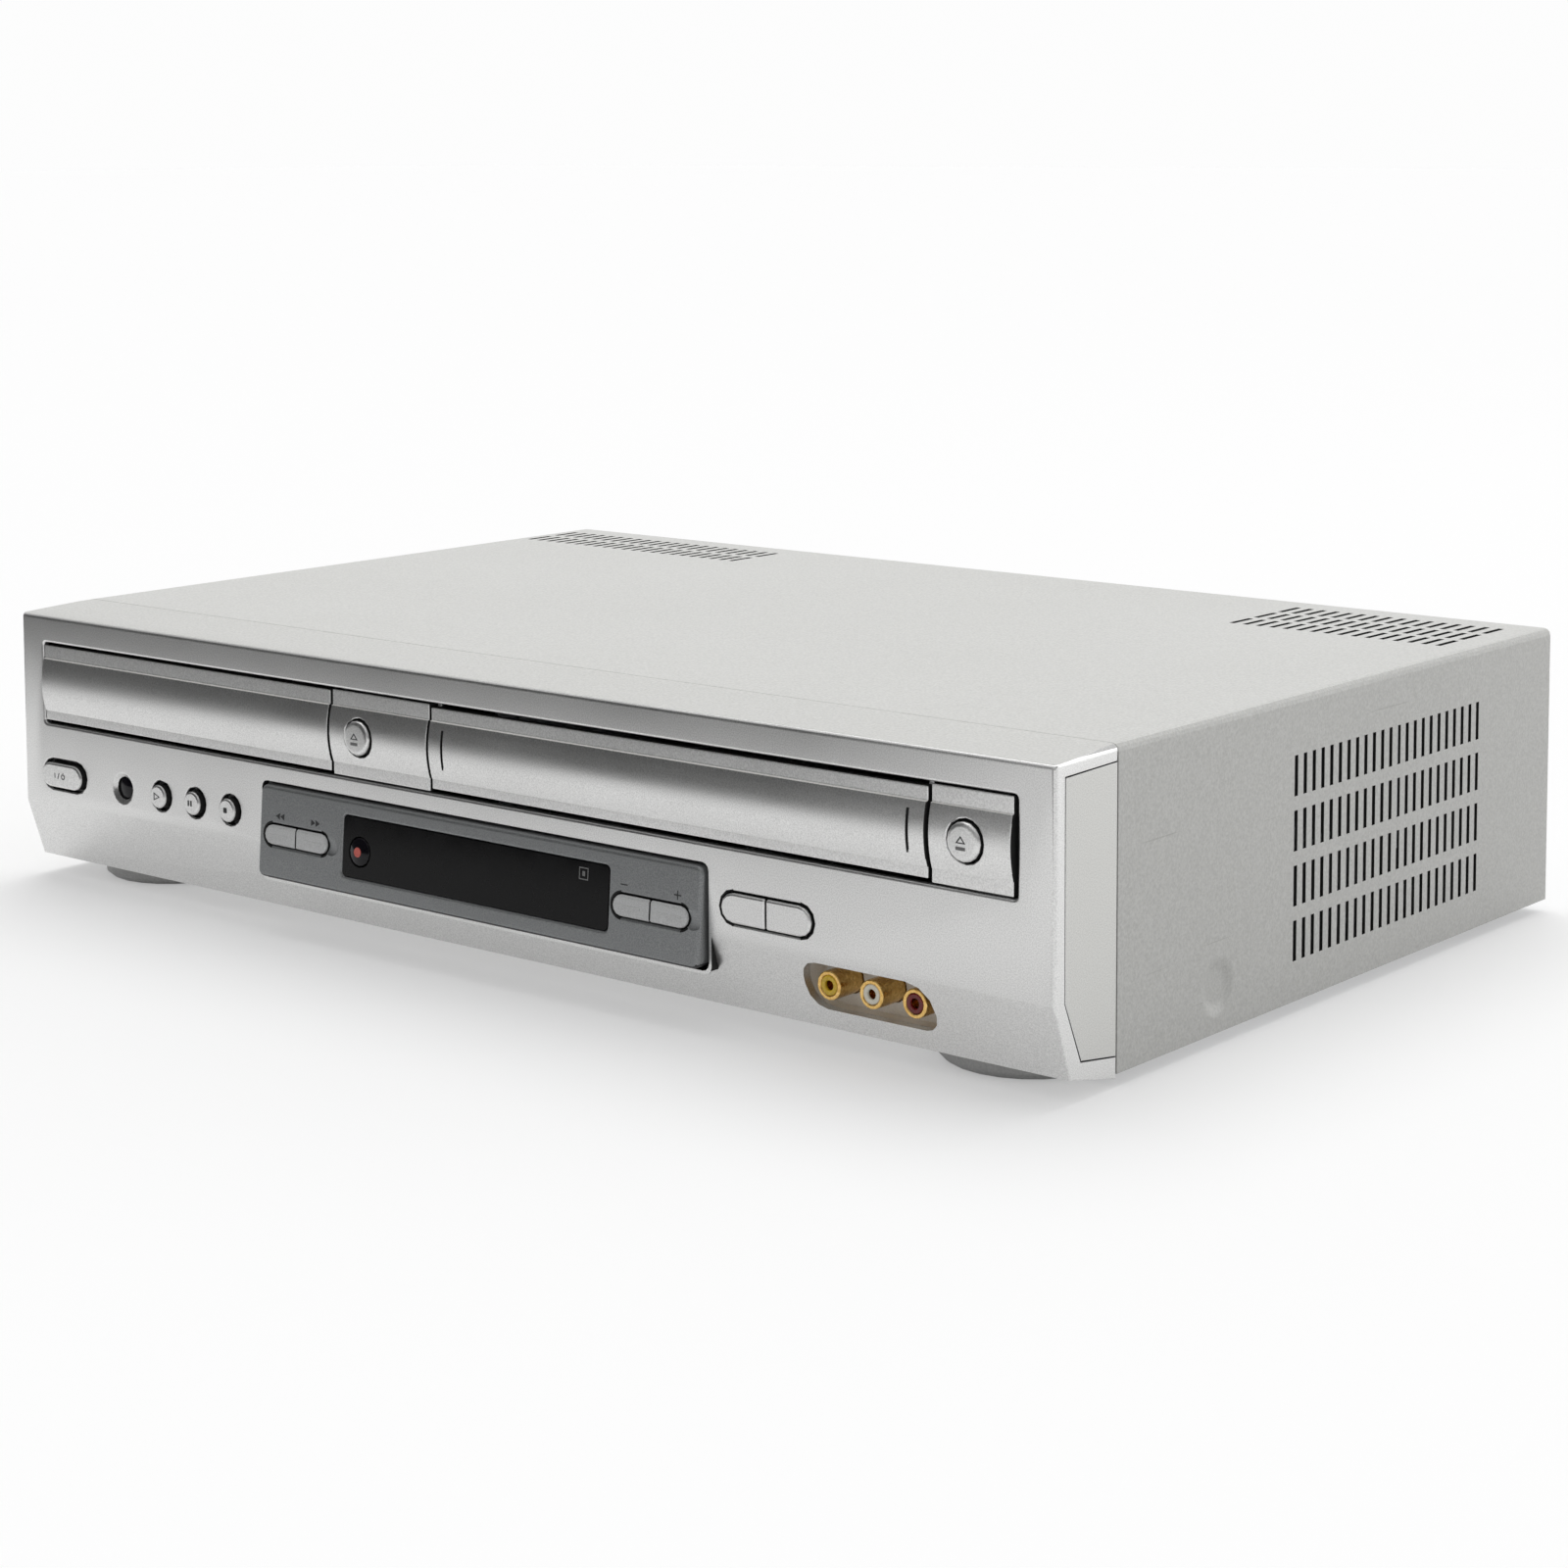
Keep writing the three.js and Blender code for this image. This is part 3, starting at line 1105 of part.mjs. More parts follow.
function makeLoaderFrame() {
  const walls = [-1, 1].flatMap((side) => {
    const wall = span(side * frameHalf, side * frameOuter);
    const ledge = span(side * (frameHalf - frameLedge.reach), side * (frameHalf + frame.wall / 2));
    const leg = span(side * (frameHalf - frameLedge.reach), side * frameOuter);
    return [
      box(wall, [frame.front, frame.back], [frameFloor, frameTop]),
      box(ledge, [frame.front, frame.back], [trayBottom - seatGap - frameLedge.thickness,
      trayBottom - seatGap]),
      box(ledge, [frame.front, frame.back], [trayTop + seatGap, trayTop + seatGap + frameLedge.thickness]),
      box(leg, [frameLeg.front, frameLeg.front + frameLeg.width], [panFloorTop + seatGap, floorTop]),
      box(leg, [frame.back - frameLeg.inset - frameLeg.width, frame.back - frameLeg.inset],
        [panFloorTop + seatGap, floorTop]),
    ];
  });
  const across = [-frameOuter, frameOuter];
  const floor = cut(box(across, [frame.front, frame.back], [frameFloor, floorTop]), box(
    [-frameBase.openHalf, frameBase.openHalf], [frameBase.openFront, frameBase.openBack],
    [frameFloor - overrun, floorTop + overrun]));
  const rear = box(across, [frame.back - frame.wall, frame.back], [frameFloor, frameFloor + frame.rearWall]);
  const top = box(across, [bridge.front, bridge.back], [frameTop - bridge.thickness, frameTop]);
  const stop = box(about(0, 2 * frameLeg.width), [frameBase.openFront - frameLeg.width, frameBase.openFront],
    [floorTop - overrun, plateBottom - seatGap]);
  const post = pin([pinionX, gearPlace.y], wheelPost, [floorTop - overrun, gearTop]);
  const motor = join(pin([loaderMotor.x, gearPlace.y], loaderMotor.radius, [floorTop - overrun, motorTop]),
    pin([loaderMotor.x, gearPlace.y], loaderMotor.pulley, [motorTop - overrun, gearBottom - seatGap]));
  const whole = join(floor, rear, top, stop, post, motor, ...walls);
  const bearings = pinX([traversePlate.pinY, plateMiddle], traversePlate.pinRadius + seatGap,
    [-frameOuter - overrun, frameOuter + overrun]);
  const clampHole = pin([0, discCentre], bridge.hole,
    [frameTop - bridge.thickness - overrun, frameTop + overrun],
    sides.wheel);
  return cut(whole, clampHole, bearings);
}
place('loader_frame', makeLoaderFrame(), blackPlastic, [0, 0, 0], loader);

// Rack teeth and wheel teeth share one pitch, with a little play between them.

const toothPitch = Math.PI * gear.module;
const pressureAngleDeg = 20;
const pressureAngle = THREE.MathUtils.degToRad(pressureAngleDeg);

function rackTooth(y) {
  const flank = Math.tan(pressureAngle);
  const thick = (toothPitch / 2 - gear.thin) / 2;
  const tip = thick - gear.addendumShare * gear.module * flank;
  const root = thick + gear.rootShare * gear.module * flank;
  return [
    [rackPitchX - gear.rootShare * gear.module, y - root],
    [rackPitchX + gear.addendumShare * gear.module, y - tip],
    [rackPitchX + gear.addendumShare * gear.module, y + tip],
    [rackPitchX - gear.rootShare * gear.module, y + root],
  ];
}

function makeTray() {
  const back = trayFront + tray.length;
  const outline = rounded(...about(0, tray.width), trayFront, back,
    [sharpCorner, sharpCorner, tray.cornerRound, tray.cornerRound]);
  const slab = alongZ(outline, [trayBottom, trayTop]);
  const above = trayTop + overrun;
  const outer = pin([0, discCentre], disc.radius + disc.clearance, [trayTop - well.depth, above], sides.well);
  const inner = pin([0, discCentre], well.innerRadius, [trayTop - well.depth - well.innerDepth, above],
    sides.drum);
  const middle = pin([0, discCentre], well.aperture, [trayBottom - overrun, above], sides.key);
  const slot = box(about(0, well.slotWidth), [discCentre, discCentre + well.slotLength],
    [trayBottom - overrun, above]);
  const barOuter = rackPitchX - gear.rootShare * gear.module;
  const points = [[barOuter - rack.bar, rack.front], [barOuter, rack.front]];
  const first = Math.ceil((rack.front - gearPlace.y) / toothPitch + 1 / 2);
  const last = Math.floor((back - gearPlace.y) / toothPitch - 1 / 2);
  for (let i = first; i < last; i++) {
    points.push(...rackTooth(gearPlace.y + (i + 1 / 2) * toothPitch));
  }
  points.push([barOuter, back - overrun], [barOuter - rack.bar, back - overrun]);
  const bar = alongZ(points, [gearBottom, trayBottom + overrun / 2]);
  return join(cut(slab, outer, inner, middle, slot), bar);
}
place('disc_tray', makeTray(), blackPlastic, [0, 0, 0], loader);
const trayDoorOutline = faciaProfile(bandBottom + trayDoorGap.bottom, bandTop - trayDoorGap.top,
  facia.thickness);
place('tray_door', alongX(trayDoorOutline, about(0, trayDoorWidth)), silverPaint, [0, 0, 0], loader);

function involute(angle) {
  return Math.tan(angle) - angle;
}

function makePinion() {
  const thick = (toothPitch / 2 - gear.thin) / 2;
  const base = pitchRadius * Math.cos(pressureAngle);
  const tipRadius = pitchRadius + gear.addendumShare * gear.module;
  const halfAngle = thick / pitchRadius;
  const atBase = halfAngle + involute(pressureAngle);
  const atTip = atBase - involute(Math.acos(base / tipRadius));
  const points = [];
  for (let i = 0; i < gear.teeth; i++) {
    const middle = (i * 2 * Math.PI) / gear.teeth;
    const flank = [
      [pitchRadius - gear.rootShare * gear.module, -atBase], [pitchRadius, -halfAngle], [tipRadius, -atTip],
      [tipRadius, atTip], [pitchRadius, halfAngle], [pitchRadius - gear.rootShare * gear.module, atBase],
    ];
    for (const [r, turn] of flank) {
      points.push([r * Math.cos(middle + turn), r * Math.sin(middle + turn)]);
    }
  }
  const { radius, hub, bottom, face } = pinionWheel;
  const faceTop = gearBottom - gearPlace.below;
  const wheel = turned([
    [0, bottom], [hub, bottom], [hub, faceTop - face], [radius, faceTop - face], [radius, faceTop],
    [hub, faceTop],
    [hub, gearBottom + overrun], [0, gearBottom + overrun],
  ], sides.wheel);
  return cut(join(alongZ(points, [gearBottom, gearTop]), wheel),
    pin([0, 0], wheelPost + seatGap, [bottom - overrun, gearTop + overrun]));
}
place('tray_pinion', makePinion(), whitePlastic, [pinionX, gearPlace.y, 0], loader);

// Traverse: a plate on two rear pins that lifts the hub into the disc.

function makeTraverse() {
  const t = traversePlate;
  const through = [plateBottom - overrun, plateTop + overrun];
  const plateSlab = box([-t.half, t.half], [t.front, t.back], [plateBottom, plateTop]);
  const window = box([-sled.lens - rods.width, sled.lens + rods.width],
    [sled.front, rods.back - rods.block], through);
  const pins = pinX([t.pinY, plateMiddle], t.pinRadius, [-frameOuter, frameOuter]);
  const pinKeep = join(box([-frameOuter, -t.half + overrun], [t.front, t.back], through),
    box([t.half - overrun, frameOuter], [t.front, t.back], through));
  const motor = pin([0, discCentre], spindle.motor, [plateBottom - spindle.motorDrop, plateTop], sides.wheel);
  const rodHeight = plateTop + rods.rise;
  const blockHeight = [plateTop - overrun, rodHeight + rods.cap];
  const rails = [-1, 1].flatMap((side) => [
    pinY([side * rods.x, rodHeight], rods.radius, [rods.front, rods.back], sides.peg),
    box(about(side * rods.x, rods.width), [rods.front, rods.front + rods.block], blockHeight),
    box(about(side * rods.x, rods.width), [rods.back - rods.block, rods.back], blockHeight),
  ]);
  return join(cut(plateSlab, window), pins.intersect(pinKeep), motor, ...rails);
}
place('traverse', makeTraverse(), plate, [0, 0, 0], loader);

function makeHub() {
  const bottom = plateTop + seatGap;
  const s = spindle;
  const tableTop = trayBottom - s.tableBelow;
  const coneTop = tableTop + s.coneRise;
  return turned([
    [0, bottom], [s.neck, bottom], [s.neck, tableTop - s.step], [s.table, tableTop - s.step],
    [s.table, tableTop],
    [s.cone, tableTop], [s.cone - keyChamfer, coneTop], [0, coneTop],
  ], sides.wheel);
}
place('spindle_hub', makeHub(), whitePlastic, [0, discCentre, 0], loader);

function makeSled() {
  const bottom = plateTop + rearGap;
  const rodHeight = plateTop + rods.rise;
  const block = box([-sled.half, sled.half], [sled.front, sled.back], [bottom, bottom + sled.height]);
  const lensAt = [0, (sled.front + sled.back) / 2];
  const top = bottom + sled.height;
  const bores = [-1, 1].map((side) => pinY([side * rods.x, rodHeight], rods.radius + seatGap,
    [sled.front - overrun, sled.back + overrun], sides.peg));
  return cut(join(block, pin(lensAt, sled.lens, [top - overrun, top + sled.lensRise])), ...bores);
}
place('laser_sled', makeSled(), blackPlastic, [0, 0, 0], loader);

function makeClamp() {
  const c = clamp;
  const seat = frameTop + seatGap;
  const bottom = trayBottom + c.aboveTray;
  return turned([
    [0, bottom + clampRecess.depth], [clampRecess.radius, bottom + clampRecess.depth], [clampRecess.radius, bottom], [c.radius, bottom],
    [c.radius, bottom + c.plate], [c.neck, frameTop - bridge.thickness - seatGap], [c.neck, seat],
    [c.flange, seat],
    [c.flange, seat + c.flangeHeight], [0, seat + c.flangeHeight],
  ], sides.wheel);
}
place('disc_clamp', makeClamp(), whitePlastic, [0, discCentre, 0], loader);

// Tape deck: a plate on legs with the head drum, reels, guides, capstan and pinch
// roller, and two side brackets that carry the cassette basket down on to it.

const deck = new THREE.Group();
deck.position.set(cassetteX, 0, 0);
unit.add(deck);

const chassis = { bottom: 12, thickness: 1.5, left: -97.5, right: 125.5, front: 19, back: 225 };
const chassisLeg = { width: 8, inset: 4, front: 36 };
const deckTop = chassis.bottom + chassis.thickness;
const lift = { inner: 95.6, sheet: 1.2, front: 30, back: 130, aboveBand: 27.7 };
const liftPin = { front: 55, back: 108, aboveBand: 13.7, radius: 1.5, slotGap: 0.3 };
const liftPinYs = [liftPin.front, liftPin.back];
const pinHeight = bandBottom + liftPin.aboveBand;
const basket = { front: 38, back: 124, inner: 94.3, sheet: 0.8, aboveBand: 0.2, lip: 14, height: 25.4 };
const basketWindow = { half: 60, end: 16 };
const drum = { y: 165, radius: 31, foot: 25, footHeight: 4, lower: 19, upper: 17.5, tiltDeg: 5 };
const drumCap = { radius: 22, rise: 3, well: 9, wellDepth: 1.5 };
const reel = { x: 46, y: 80, post: 2, bore: 2.3, table: 23, step: 20, stepRise: 2.5, rise: 5 };
const reelSpindle = { radius: 7, top: 38, chamfer: 2, fin: 1.3, finReach: 1.4, finBelow: 3, finCount: 3 };
const capstan = { x: 59.5, y: 121, radius: 1.5, top: 42, flywheel: 22, rim: 6.5, boss: 4, bossHeight: 6.5 };
const pinch = { x: 90.5, y: 134, roller: 6.5, restX: 61, restY: 144.5, pin: 1.3, bottom: 21, top: 37 };
const pinchArm = { post: 2, hub: 5, hubHeight: 6, width: 6, sheet: 3 };
const guide = { x: 30, y: 112, endX: 42, endY: 158, length: 12, width: 10, thickness: 3.2 };
const guidePole = { radius: 2.2, flange: 3, flangeHeight: 2, top: 42, peg: 1.3, slot: 1.6 };

// Fixed parts of the deck: the sound head, the erase head and two loading motors. Each
// has its ends across and along the plate, and its height, as shares.

const tallestPart = 22.5;
const fixedPartShares = [
  { across: [0.68, 0.742], along: [0.653, 0.684], rise: 1 },
  { across: [0.16, 0.213], along: [0.626, 0.655], rise: 0.91 },
  { across: [0.025, 0.16], along: [0.762, 0.898], rise: 0.82 },
  { across: [0.76, 0.94], along: [0.772, 0.937], rise: 0.73 },
];

function guideSlot(side) {
  const along = [side * (guide.endX - guide.x), guide.endY - guide.y];
  const length = Math.hypot(...along);
  const unitAlong = along.map((part) => part / length);
  const point = (forward, across) => [
    side * guide.x + unitAlong[0] * forward - unitAlong[1] * across,
    guide.y + unitAlong[1] * forward + unitAlong[0] * across,
  ];
  const reach = guidePole.slot + seatGap;
  return [
    point(-reach, -guidePole.slot), point(length + reach, -guidePole.slot), point(length + reach, guidePole.slot),
    point(-reach, guidePole.slot),
  ];
}

function makeChassis() {
  const c = chassis;
  let plateShape = box([c.left, c.right], [c.front, c.back], [c.bottom, deckTop]);
  const slotsCut = [-1, 1].map((side) => alongZ(guideSlot(side), [c.bottom - overrun, deckTop + overrun]));
  plateShape = cut(plateShape, ...slotsCut);
  for (const x of [c.left + chassisLeg.inset, c.right - chassisLeg.inset - chassisLeg.width]) {
    for (const y of [chassisLeg.front, c.back - chassisLeg.inset - chassisLeg.width]) {
      const leg = box([x, x + chassisLeg.width], [y, y + chassisLeg.width], [panFloorTop + seatGap, c.bottom + overrun / 2]);
      plateShape = join(plateShape, leg);
    }
  }
  for (const side of [-1, 1]) {
    const sheetX = span(side * lift.inner, side * (lift.inner + lift.sheet));
    const wall = box(sheetX, [lift.front, lift.back], [deckTop - overrun / 2, bandBottom + lift.aboveBand]);
    const cutX = span(side * (lift.inner - overrun), side * (lift.inner + lift.sheet + overrun));
    const r = liftPin.radius + liftPin.slotGap;
    const grooves = liftPinYs.map((y) => box(cutX, about(y, 2 * r),
      [pinHeight - tapeDrop - r, pinHeight + r]));
    plateShape = join(plateShape, cut(wall, ...grooves),
      pin([side * reel.x, reel.y], reel.post, [deckTop - overrun / 2, reelSpindle.top - seatGap]));
  }
  const acrossPlate = (share) => c.left + share * (c.right - c.left);
  const alongPlate = (share) => c.front + share * (c.back - c.front);
  for (const { across, along, rise } of fixedPartShares) {
    plateShape = join(plateShape, box(across.map(acrossPlate), along.map(alongPlate),
      [deckTop - overrun / 2, deckTop + rise * tallestPart]));
  }
  plateShape = join(plateShape,
    pin([capstan.x, capstan.y], capstan.boss, [deckTop - overrun / 2, deckTop + capstan.bossHeight]),
    pin([pinch.x, pinch.y], pinchArm.post, [deckTop - overrun / 2, deckTop + pinchArm.hubHeight + seatGap]));
  return cut(plateShape, pin([capstan.x, capstan.y], capstan.radius + seatGap,
    [c.bottom - overrun, deckTop + capstan.bossHeight + overrun]));
}
place('tape_deck_chassis', makeChassis(), plate, [0, 0, 0], deck);

// The head drum leans sideways; its lower half is still and its upper half turns.

const drumStand = new THREE.Group();
const lean = THREE.MathUtils.degToRad(drum.tiltDeg);
drumStand.position.set(0, drum.y, deckTop + seatGap + drum.foot * Math.sin(lean));
drumStand.rotation.y = lean;
deck.add(drumStand);

const drumSplit = drum.footHeight + drum.lower;
const lowerDrum = [
  [0, 0], [drum.foot, 0], [drum.foot, drum.footHeight], [drum.radius, drum.footHeight],
  [drum.radius, drumSplit],
  [0, drumSplit],
];
place('drum_lower', turned(lowerDrum, sides.drum), brightMetal, [0, 0, 0], drumStand);

const upperBottom = drumSplit + seatGap;
const upperTop = upperBottom + drum.upper;
const upperDrum = [
  [0, upperBottom], [drum.radius, upperBottom], [drum.radius, upperTop], [drumCap.radius, upperTop],
  [drumCap.radius, upperTop + drumCap.rise], [drumCap.well, upperTop + drumCap.rise],
  [drumCap.well, upperTop + drumCap.rise - drumCap.wellDepth], [0, upperTop + drumCap.rise - drumCap.wellDepth],
];
place('drum_upper', turned(upperDrum, sides.drum), brightMetal, [0, 0, 0], drumStand);

function makeReel() {
  const bottom = deckTop + seatGap;
  const [r, t] = [reel, reelSpindle];
  const profile = [
    [r.bore, bottom], [r.step, bottom], [r.step, bottom + r.stepRise], [r.table, bottom + r.stepRise],
    [r.table, bottom + r.rise], [t.radius, bottom + r.rise], [t.radius, t.top - t.chamfer],
    [t.radius - t.chamfer, t.top], [r.bore, t.top], [r.bore, bottom],
  ];
  let whole = turned(profile, sides.wheel);
  const [finLow, finHigh] = [bottom + r.rise - overrun / 2, t.top - t.finBelow];
  for (let i = 0; i < t.finCount; i++) {
    const fin = new THREE.BoxGeometry(t.finReach + overrun, t.fin, finHigh - finLow);
    fin.translate(t.radius + t.finReach / 2 - overrun / 2, 0, (finLow + finHigh) / 2);
    whole = join(whole, solid(fin.rotateZ((i * 2 * Math.PI) / t.finCount)));
  }
  return whole;
}
place('supply_reel', makeReel(), blackPlastic, [-reel.x, reel.y, 0], deck);
place('takeup_reel', makeReel(), blackPlastic, [reel.x, reel.y, 0], deck);

const flywheelTop = chassis.bottom - overrun;
const capstanProfile = [
  [0, flywheelTop - capstan.rim], [capstan.flywheel, flywheelTop - capstan.rim],
  [capstan.flywheel, flywheelTop],
  [capstan.radius, flywheelTop], [capstan.radius, capstan.top], [0, capstan.top],
];
place('capstan_flywheel', turned(capstanProfile, sides.wheel), brightMetal, [capstan.x, capstan.y, 0], deck);

function makePinchArm() {
  const bottom = deckTop + seatGap;
  const reach = [pinch.restX - pinch.x, pinch.restY - pinch.y];
  const length = Math.hypot(...reach);
  const bar = new THREE.BoxGeometry(length, pinchArm.width, pinchArm.sheet);
  bar.translate(length / 2, 0, bottom + pinchArm.sheet / 2);
  bar.rotateZ(Math.atan2(reach[1], reach[0]));
  const arm = join(solid(bar), pin([0, 0], pinchArm.hub, [bottom, bottom + pinchArm.hubHeight]),
    pin(reach, pinchArm.width / 2, [bottom, bottom + pinchArm.sheet]),
    pin(reach, pinch.pin, [bottom, pinch.top + overrun]));
  return cut(arm, pin([0, 0], pinchArm.post + seatGap, [bottom - overrun, bottom + pinchArm.hubHeight + overrun]));
}
place('pinch_arm', makePinchArm(), plate, [pinch.x, pinch.y, 0], deck);

const pinchBore = pinch.pin + seatGap;
const rollerProfile = [
  [pinchBore, pinch.bottom], [pinch.roller, pinch.bottom], [pinch.roller, pinch.top], [pinchBore, pinch.top],
  [pinchBore, pinch.bottom],
];
place('pinch_roller', turned(rollerProfile, sides.key), rubber, [pinch.restX, pinch.restY, 0], deck);

function makeGuide() {
  const bottom = deckTop + seatGap;
  const top = bottom + guide.thickness;
  return join(
    box(about(0, guide.length), about(0, guide.width), [bottom, top]),
    pin([0, 0], guidePole.peg, [chassis.bottom + seatGap, bottom + overrun], sides.peg),
    pin([0, 0], guidePole.radius, [top - overrun, guidePole.top]),
    pin([0, 0], guidePole.flange, [guidePole.top - guidePole.flangeHeight, guidePole.top]),
    pin([0, 0], guidePole.flange, [top - overrun, top + guidePole.flangeHeight]));
}
place('supply_guide', makeGuide(), brightMetal, [-guide.x, guide.y, 0], deck);
place('takeup_guide', makeGuide(), brightMetal, [guide.x, guide.y, 0], deck);

// Cassette basket: a folded sheet with a floor lip on each side and pins that run in
// the brackets.

function makeBasket() {
  const b = basket;
  const floor = bandBottom + b.aboveBand;
  const roof = floor + b.height;
  const lid = cut(box([-b.inner, b.inner], [b.front, b.back], [roof, roof + b.sheet]), box(
    [-basketWindow.half, basketWindow.half], [b.front + basketWindow.end, b.back - basketWindow.end],
    [roof - overrun, roof + b.sheet + overrun]));
  const walls = [-1, 1].flatMap((side) => {
    const outer = side * (b.inner + b.sheet);
    return [
      box(span(side * b.inner, outer), [b.front, b.back], [floor - b.sheet, roof + b.sheet]),
      box(span(side * (b.inner - b.lip), outer), [b.front, b.back], [floor - b.sheet, floor]),
      box(span(side * (b.inner - b.lip), outer), [b.back - b.sheet, b.back],
      [floor - b.sheet, floor + b.lip]),
      ...liftPinYs.map((y) => pinX([y, pinHeight], liftPin.radius,
        span(side * b.inner, side * (lift.inner + lift.sheet + rearGap)), sides.peg)),
    ];
  });
  return join(lid, ...walls);
}
place('cassette_basket', makeBasket(), plate, [0, 0, 0], deck);

// The unit stands with its feet on the ground and its whole depth about the origin.

const frontReach = panel.proud;
unit.position.set(0, (frontReach - body.depth - rearReach) / 2, footDrop);

export default player;
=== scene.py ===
# %% [markdown]
# # A disc and tape player
#
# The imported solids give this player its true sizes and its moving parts. This lesson
# dresses them: each outer piece becomes a copy with rounded edges, each surface gets a
# finish made of nodes, and the small printed and moulded details are modelled on top.

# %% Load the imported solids
import json
import math

import bpy
from mathutils import Matrix, Vector

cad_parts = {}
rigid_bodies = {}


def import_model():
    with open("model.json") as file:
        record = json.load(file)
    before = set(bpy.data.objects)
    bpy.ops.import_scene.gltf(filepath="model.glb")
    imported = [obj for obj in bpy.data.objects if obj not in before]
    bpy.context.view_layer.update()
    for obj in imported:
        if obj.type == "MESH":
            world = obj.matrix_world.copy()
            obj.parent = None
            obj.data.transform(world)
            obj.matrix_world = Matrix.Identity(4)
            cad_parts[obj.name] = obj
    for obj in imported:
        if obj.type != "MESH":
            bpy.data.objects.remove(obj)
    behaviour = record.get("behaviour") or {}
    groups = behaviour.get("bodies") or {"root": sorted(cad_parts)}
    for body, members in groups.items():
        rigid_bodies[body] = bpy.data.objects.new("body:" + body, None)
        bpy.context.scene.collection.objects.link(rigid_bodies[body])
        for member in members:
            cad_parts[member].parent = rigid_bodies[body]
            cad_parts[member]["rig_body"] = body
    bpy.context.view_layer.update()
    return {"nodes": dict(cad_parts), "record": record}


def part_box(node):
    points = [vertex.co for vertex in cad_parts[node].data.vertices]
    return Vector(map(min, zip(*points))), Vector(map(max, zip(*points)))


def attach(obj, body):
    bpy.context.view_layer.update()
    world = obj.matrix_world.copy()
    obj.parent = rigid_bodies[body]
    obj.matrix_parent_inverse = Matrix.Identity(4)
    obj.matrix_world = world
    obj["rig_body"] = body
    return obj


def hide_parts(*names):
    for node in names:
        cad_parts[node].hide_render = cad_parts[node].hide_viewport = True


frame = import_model()
nodes = frame["nodes"]
bpy.ops.object.select_all(action="DESELECT")
MM = 0.001

# %% [markdown]
# ## Camera
#
# The photograph was taken with a long lens from the front right and slightly above. Its
# upright edges stay almost parallel, so the optical axis was nearly level and the frame
# was cut from the lower part of the picture, which a vertical shift repeats. The
# directions were worked out from the corners of the case, so the camera is set by its own
# axes, which keeps the slight roll that three turn angles would hide.

# %% Camera
view_forward = Vector((-0.63508, 0.76654, -0.09534))
view_right = Vector((0.77028, 0.6377, -0.00384))
view_up = view_right.cross(view_forward)
camera_place = Vector((0.67788, -0.81004, 0.25305))
camera_data = bpy.data.cameras.new("camera")
camera_data.lens = 73.324
camera_data.shift_y = -0.21875
camera = bpy.data.objects.new("camera", camera_data)
bpy.context.scene.collection.objects.link(camera)
axes = Matrix((view_right, view_up, -view_forward)).transposed().to_4x4()
camera.matrix_world = Matrix.Translation(camera_place) @ axes
bpy.context.scene.camera = camera
print("camera", [round(c, 3) for c in camera.location], "lens", camera_data.lens)

# %% [markdown]
# ## Nodes
#
# Every material here is a small tree of nodes. Four helpers keep the trees short: one
# makes a material, one adds a node, one fills a socket with a number or with another
# node's output, and one does sums.

# %% Helpers for nodes
def new_material(name):
    made = bpy.data.materials.new(name)
    made.use_nodes = True
    return made, made.node_tree, made.node_tree.nodes["Principled BSDF"]


def add_node(tree, kind, **settings):
    made = tree.nodes.new(kind)
    for name, value in settings.items():
        setattr(made, name, value)
    return made


def fill(tree, socket, value):
    if isinstance(value, (int, float)):
        socket.default_value = value
    else:
        tree.links.new(value, socket)


def arithmetic(tree, operation, first, second):
    made = add_node(tree, "ShaderNodeMath", operation=operation)
    fill(tree, made.inputs[0], first)
    fill(tree, made.inputs[1], second)
    return made.outputs[0]


# %% [markdown]
# ## Floor
#
# A single large plane is enough for a product picture. It is almost white, and it adds a
# little light of its own only for the camera and for reflections, so it looks like a
# studio sweep and still takes the player's soft shadow.

# %% Floor
floor_grey = 0.6
floor_glow = 0.36
bpy.ops.mesh.primitive_plane_add(size=40, location=(0, 0, -0.2 * MM))
floor = bpy.context.object
floor.name = "floor"
sweep, tree, shader = new_material("white_sweep")
shader.inputs["Base Color"].default_value = (floor_grey, floor_grey, floor_grey, 1)
shader.inputs["Roughness"].default_value = 0.9
shader.inputs["Specular IOR Level"].default_value = 0.0
shader.inputs["Emission Color"].default_value = (1, 1, 1, 1)
rays = add_node(tree, "ShaderNodeLightPath")
direct = arithmetic(tree, "MAXIMUM", rays.outputs["Is Camera Ray"], rays.outputs["Is Glossy Ray"])
seen = arithmetic(tree, "MAXIMUM", direct, rays.outputs["Is Transmission Ray"])
fill(tree, shader.inputs["Emission Strength"], arithmetic(tree, "MULTIPLY", seen, floor_glow))
floor.data.materials.append(sweep)
print("floor", floor.dimensions[:2])

# %% [markdown]
# ## Light
#
# Silver paint needs something bright and something dark to reflect. The world is a studio
# with a white far wall behind the player and a dark grey near wall behind the camera. Two
# soft steps blend the near wall into the far one, and both into the ceiling.

# %% World
far_wall = 0.98
near_wall = 0.27
ceiling = 0.72


def between(tree, value, low, high, from_low=0.3, from_high=0.7, curve="LINEAR"):
    """Turn one range of values into another."""
    made = add_node(tree, "ShaderNodeMapRange", interpolation_type=curve)
    fill(tree, made.inputs["From Min"], from_low)
    fill(tree, made.inputs["From Max"], from_high)
    fill(tree, made.inputs["To Min"], low)
    fill(tree, made.inputs["To Max"], high)
    fill(tree, made.inputs["Value"], value)
    return made.outputs["Result"]


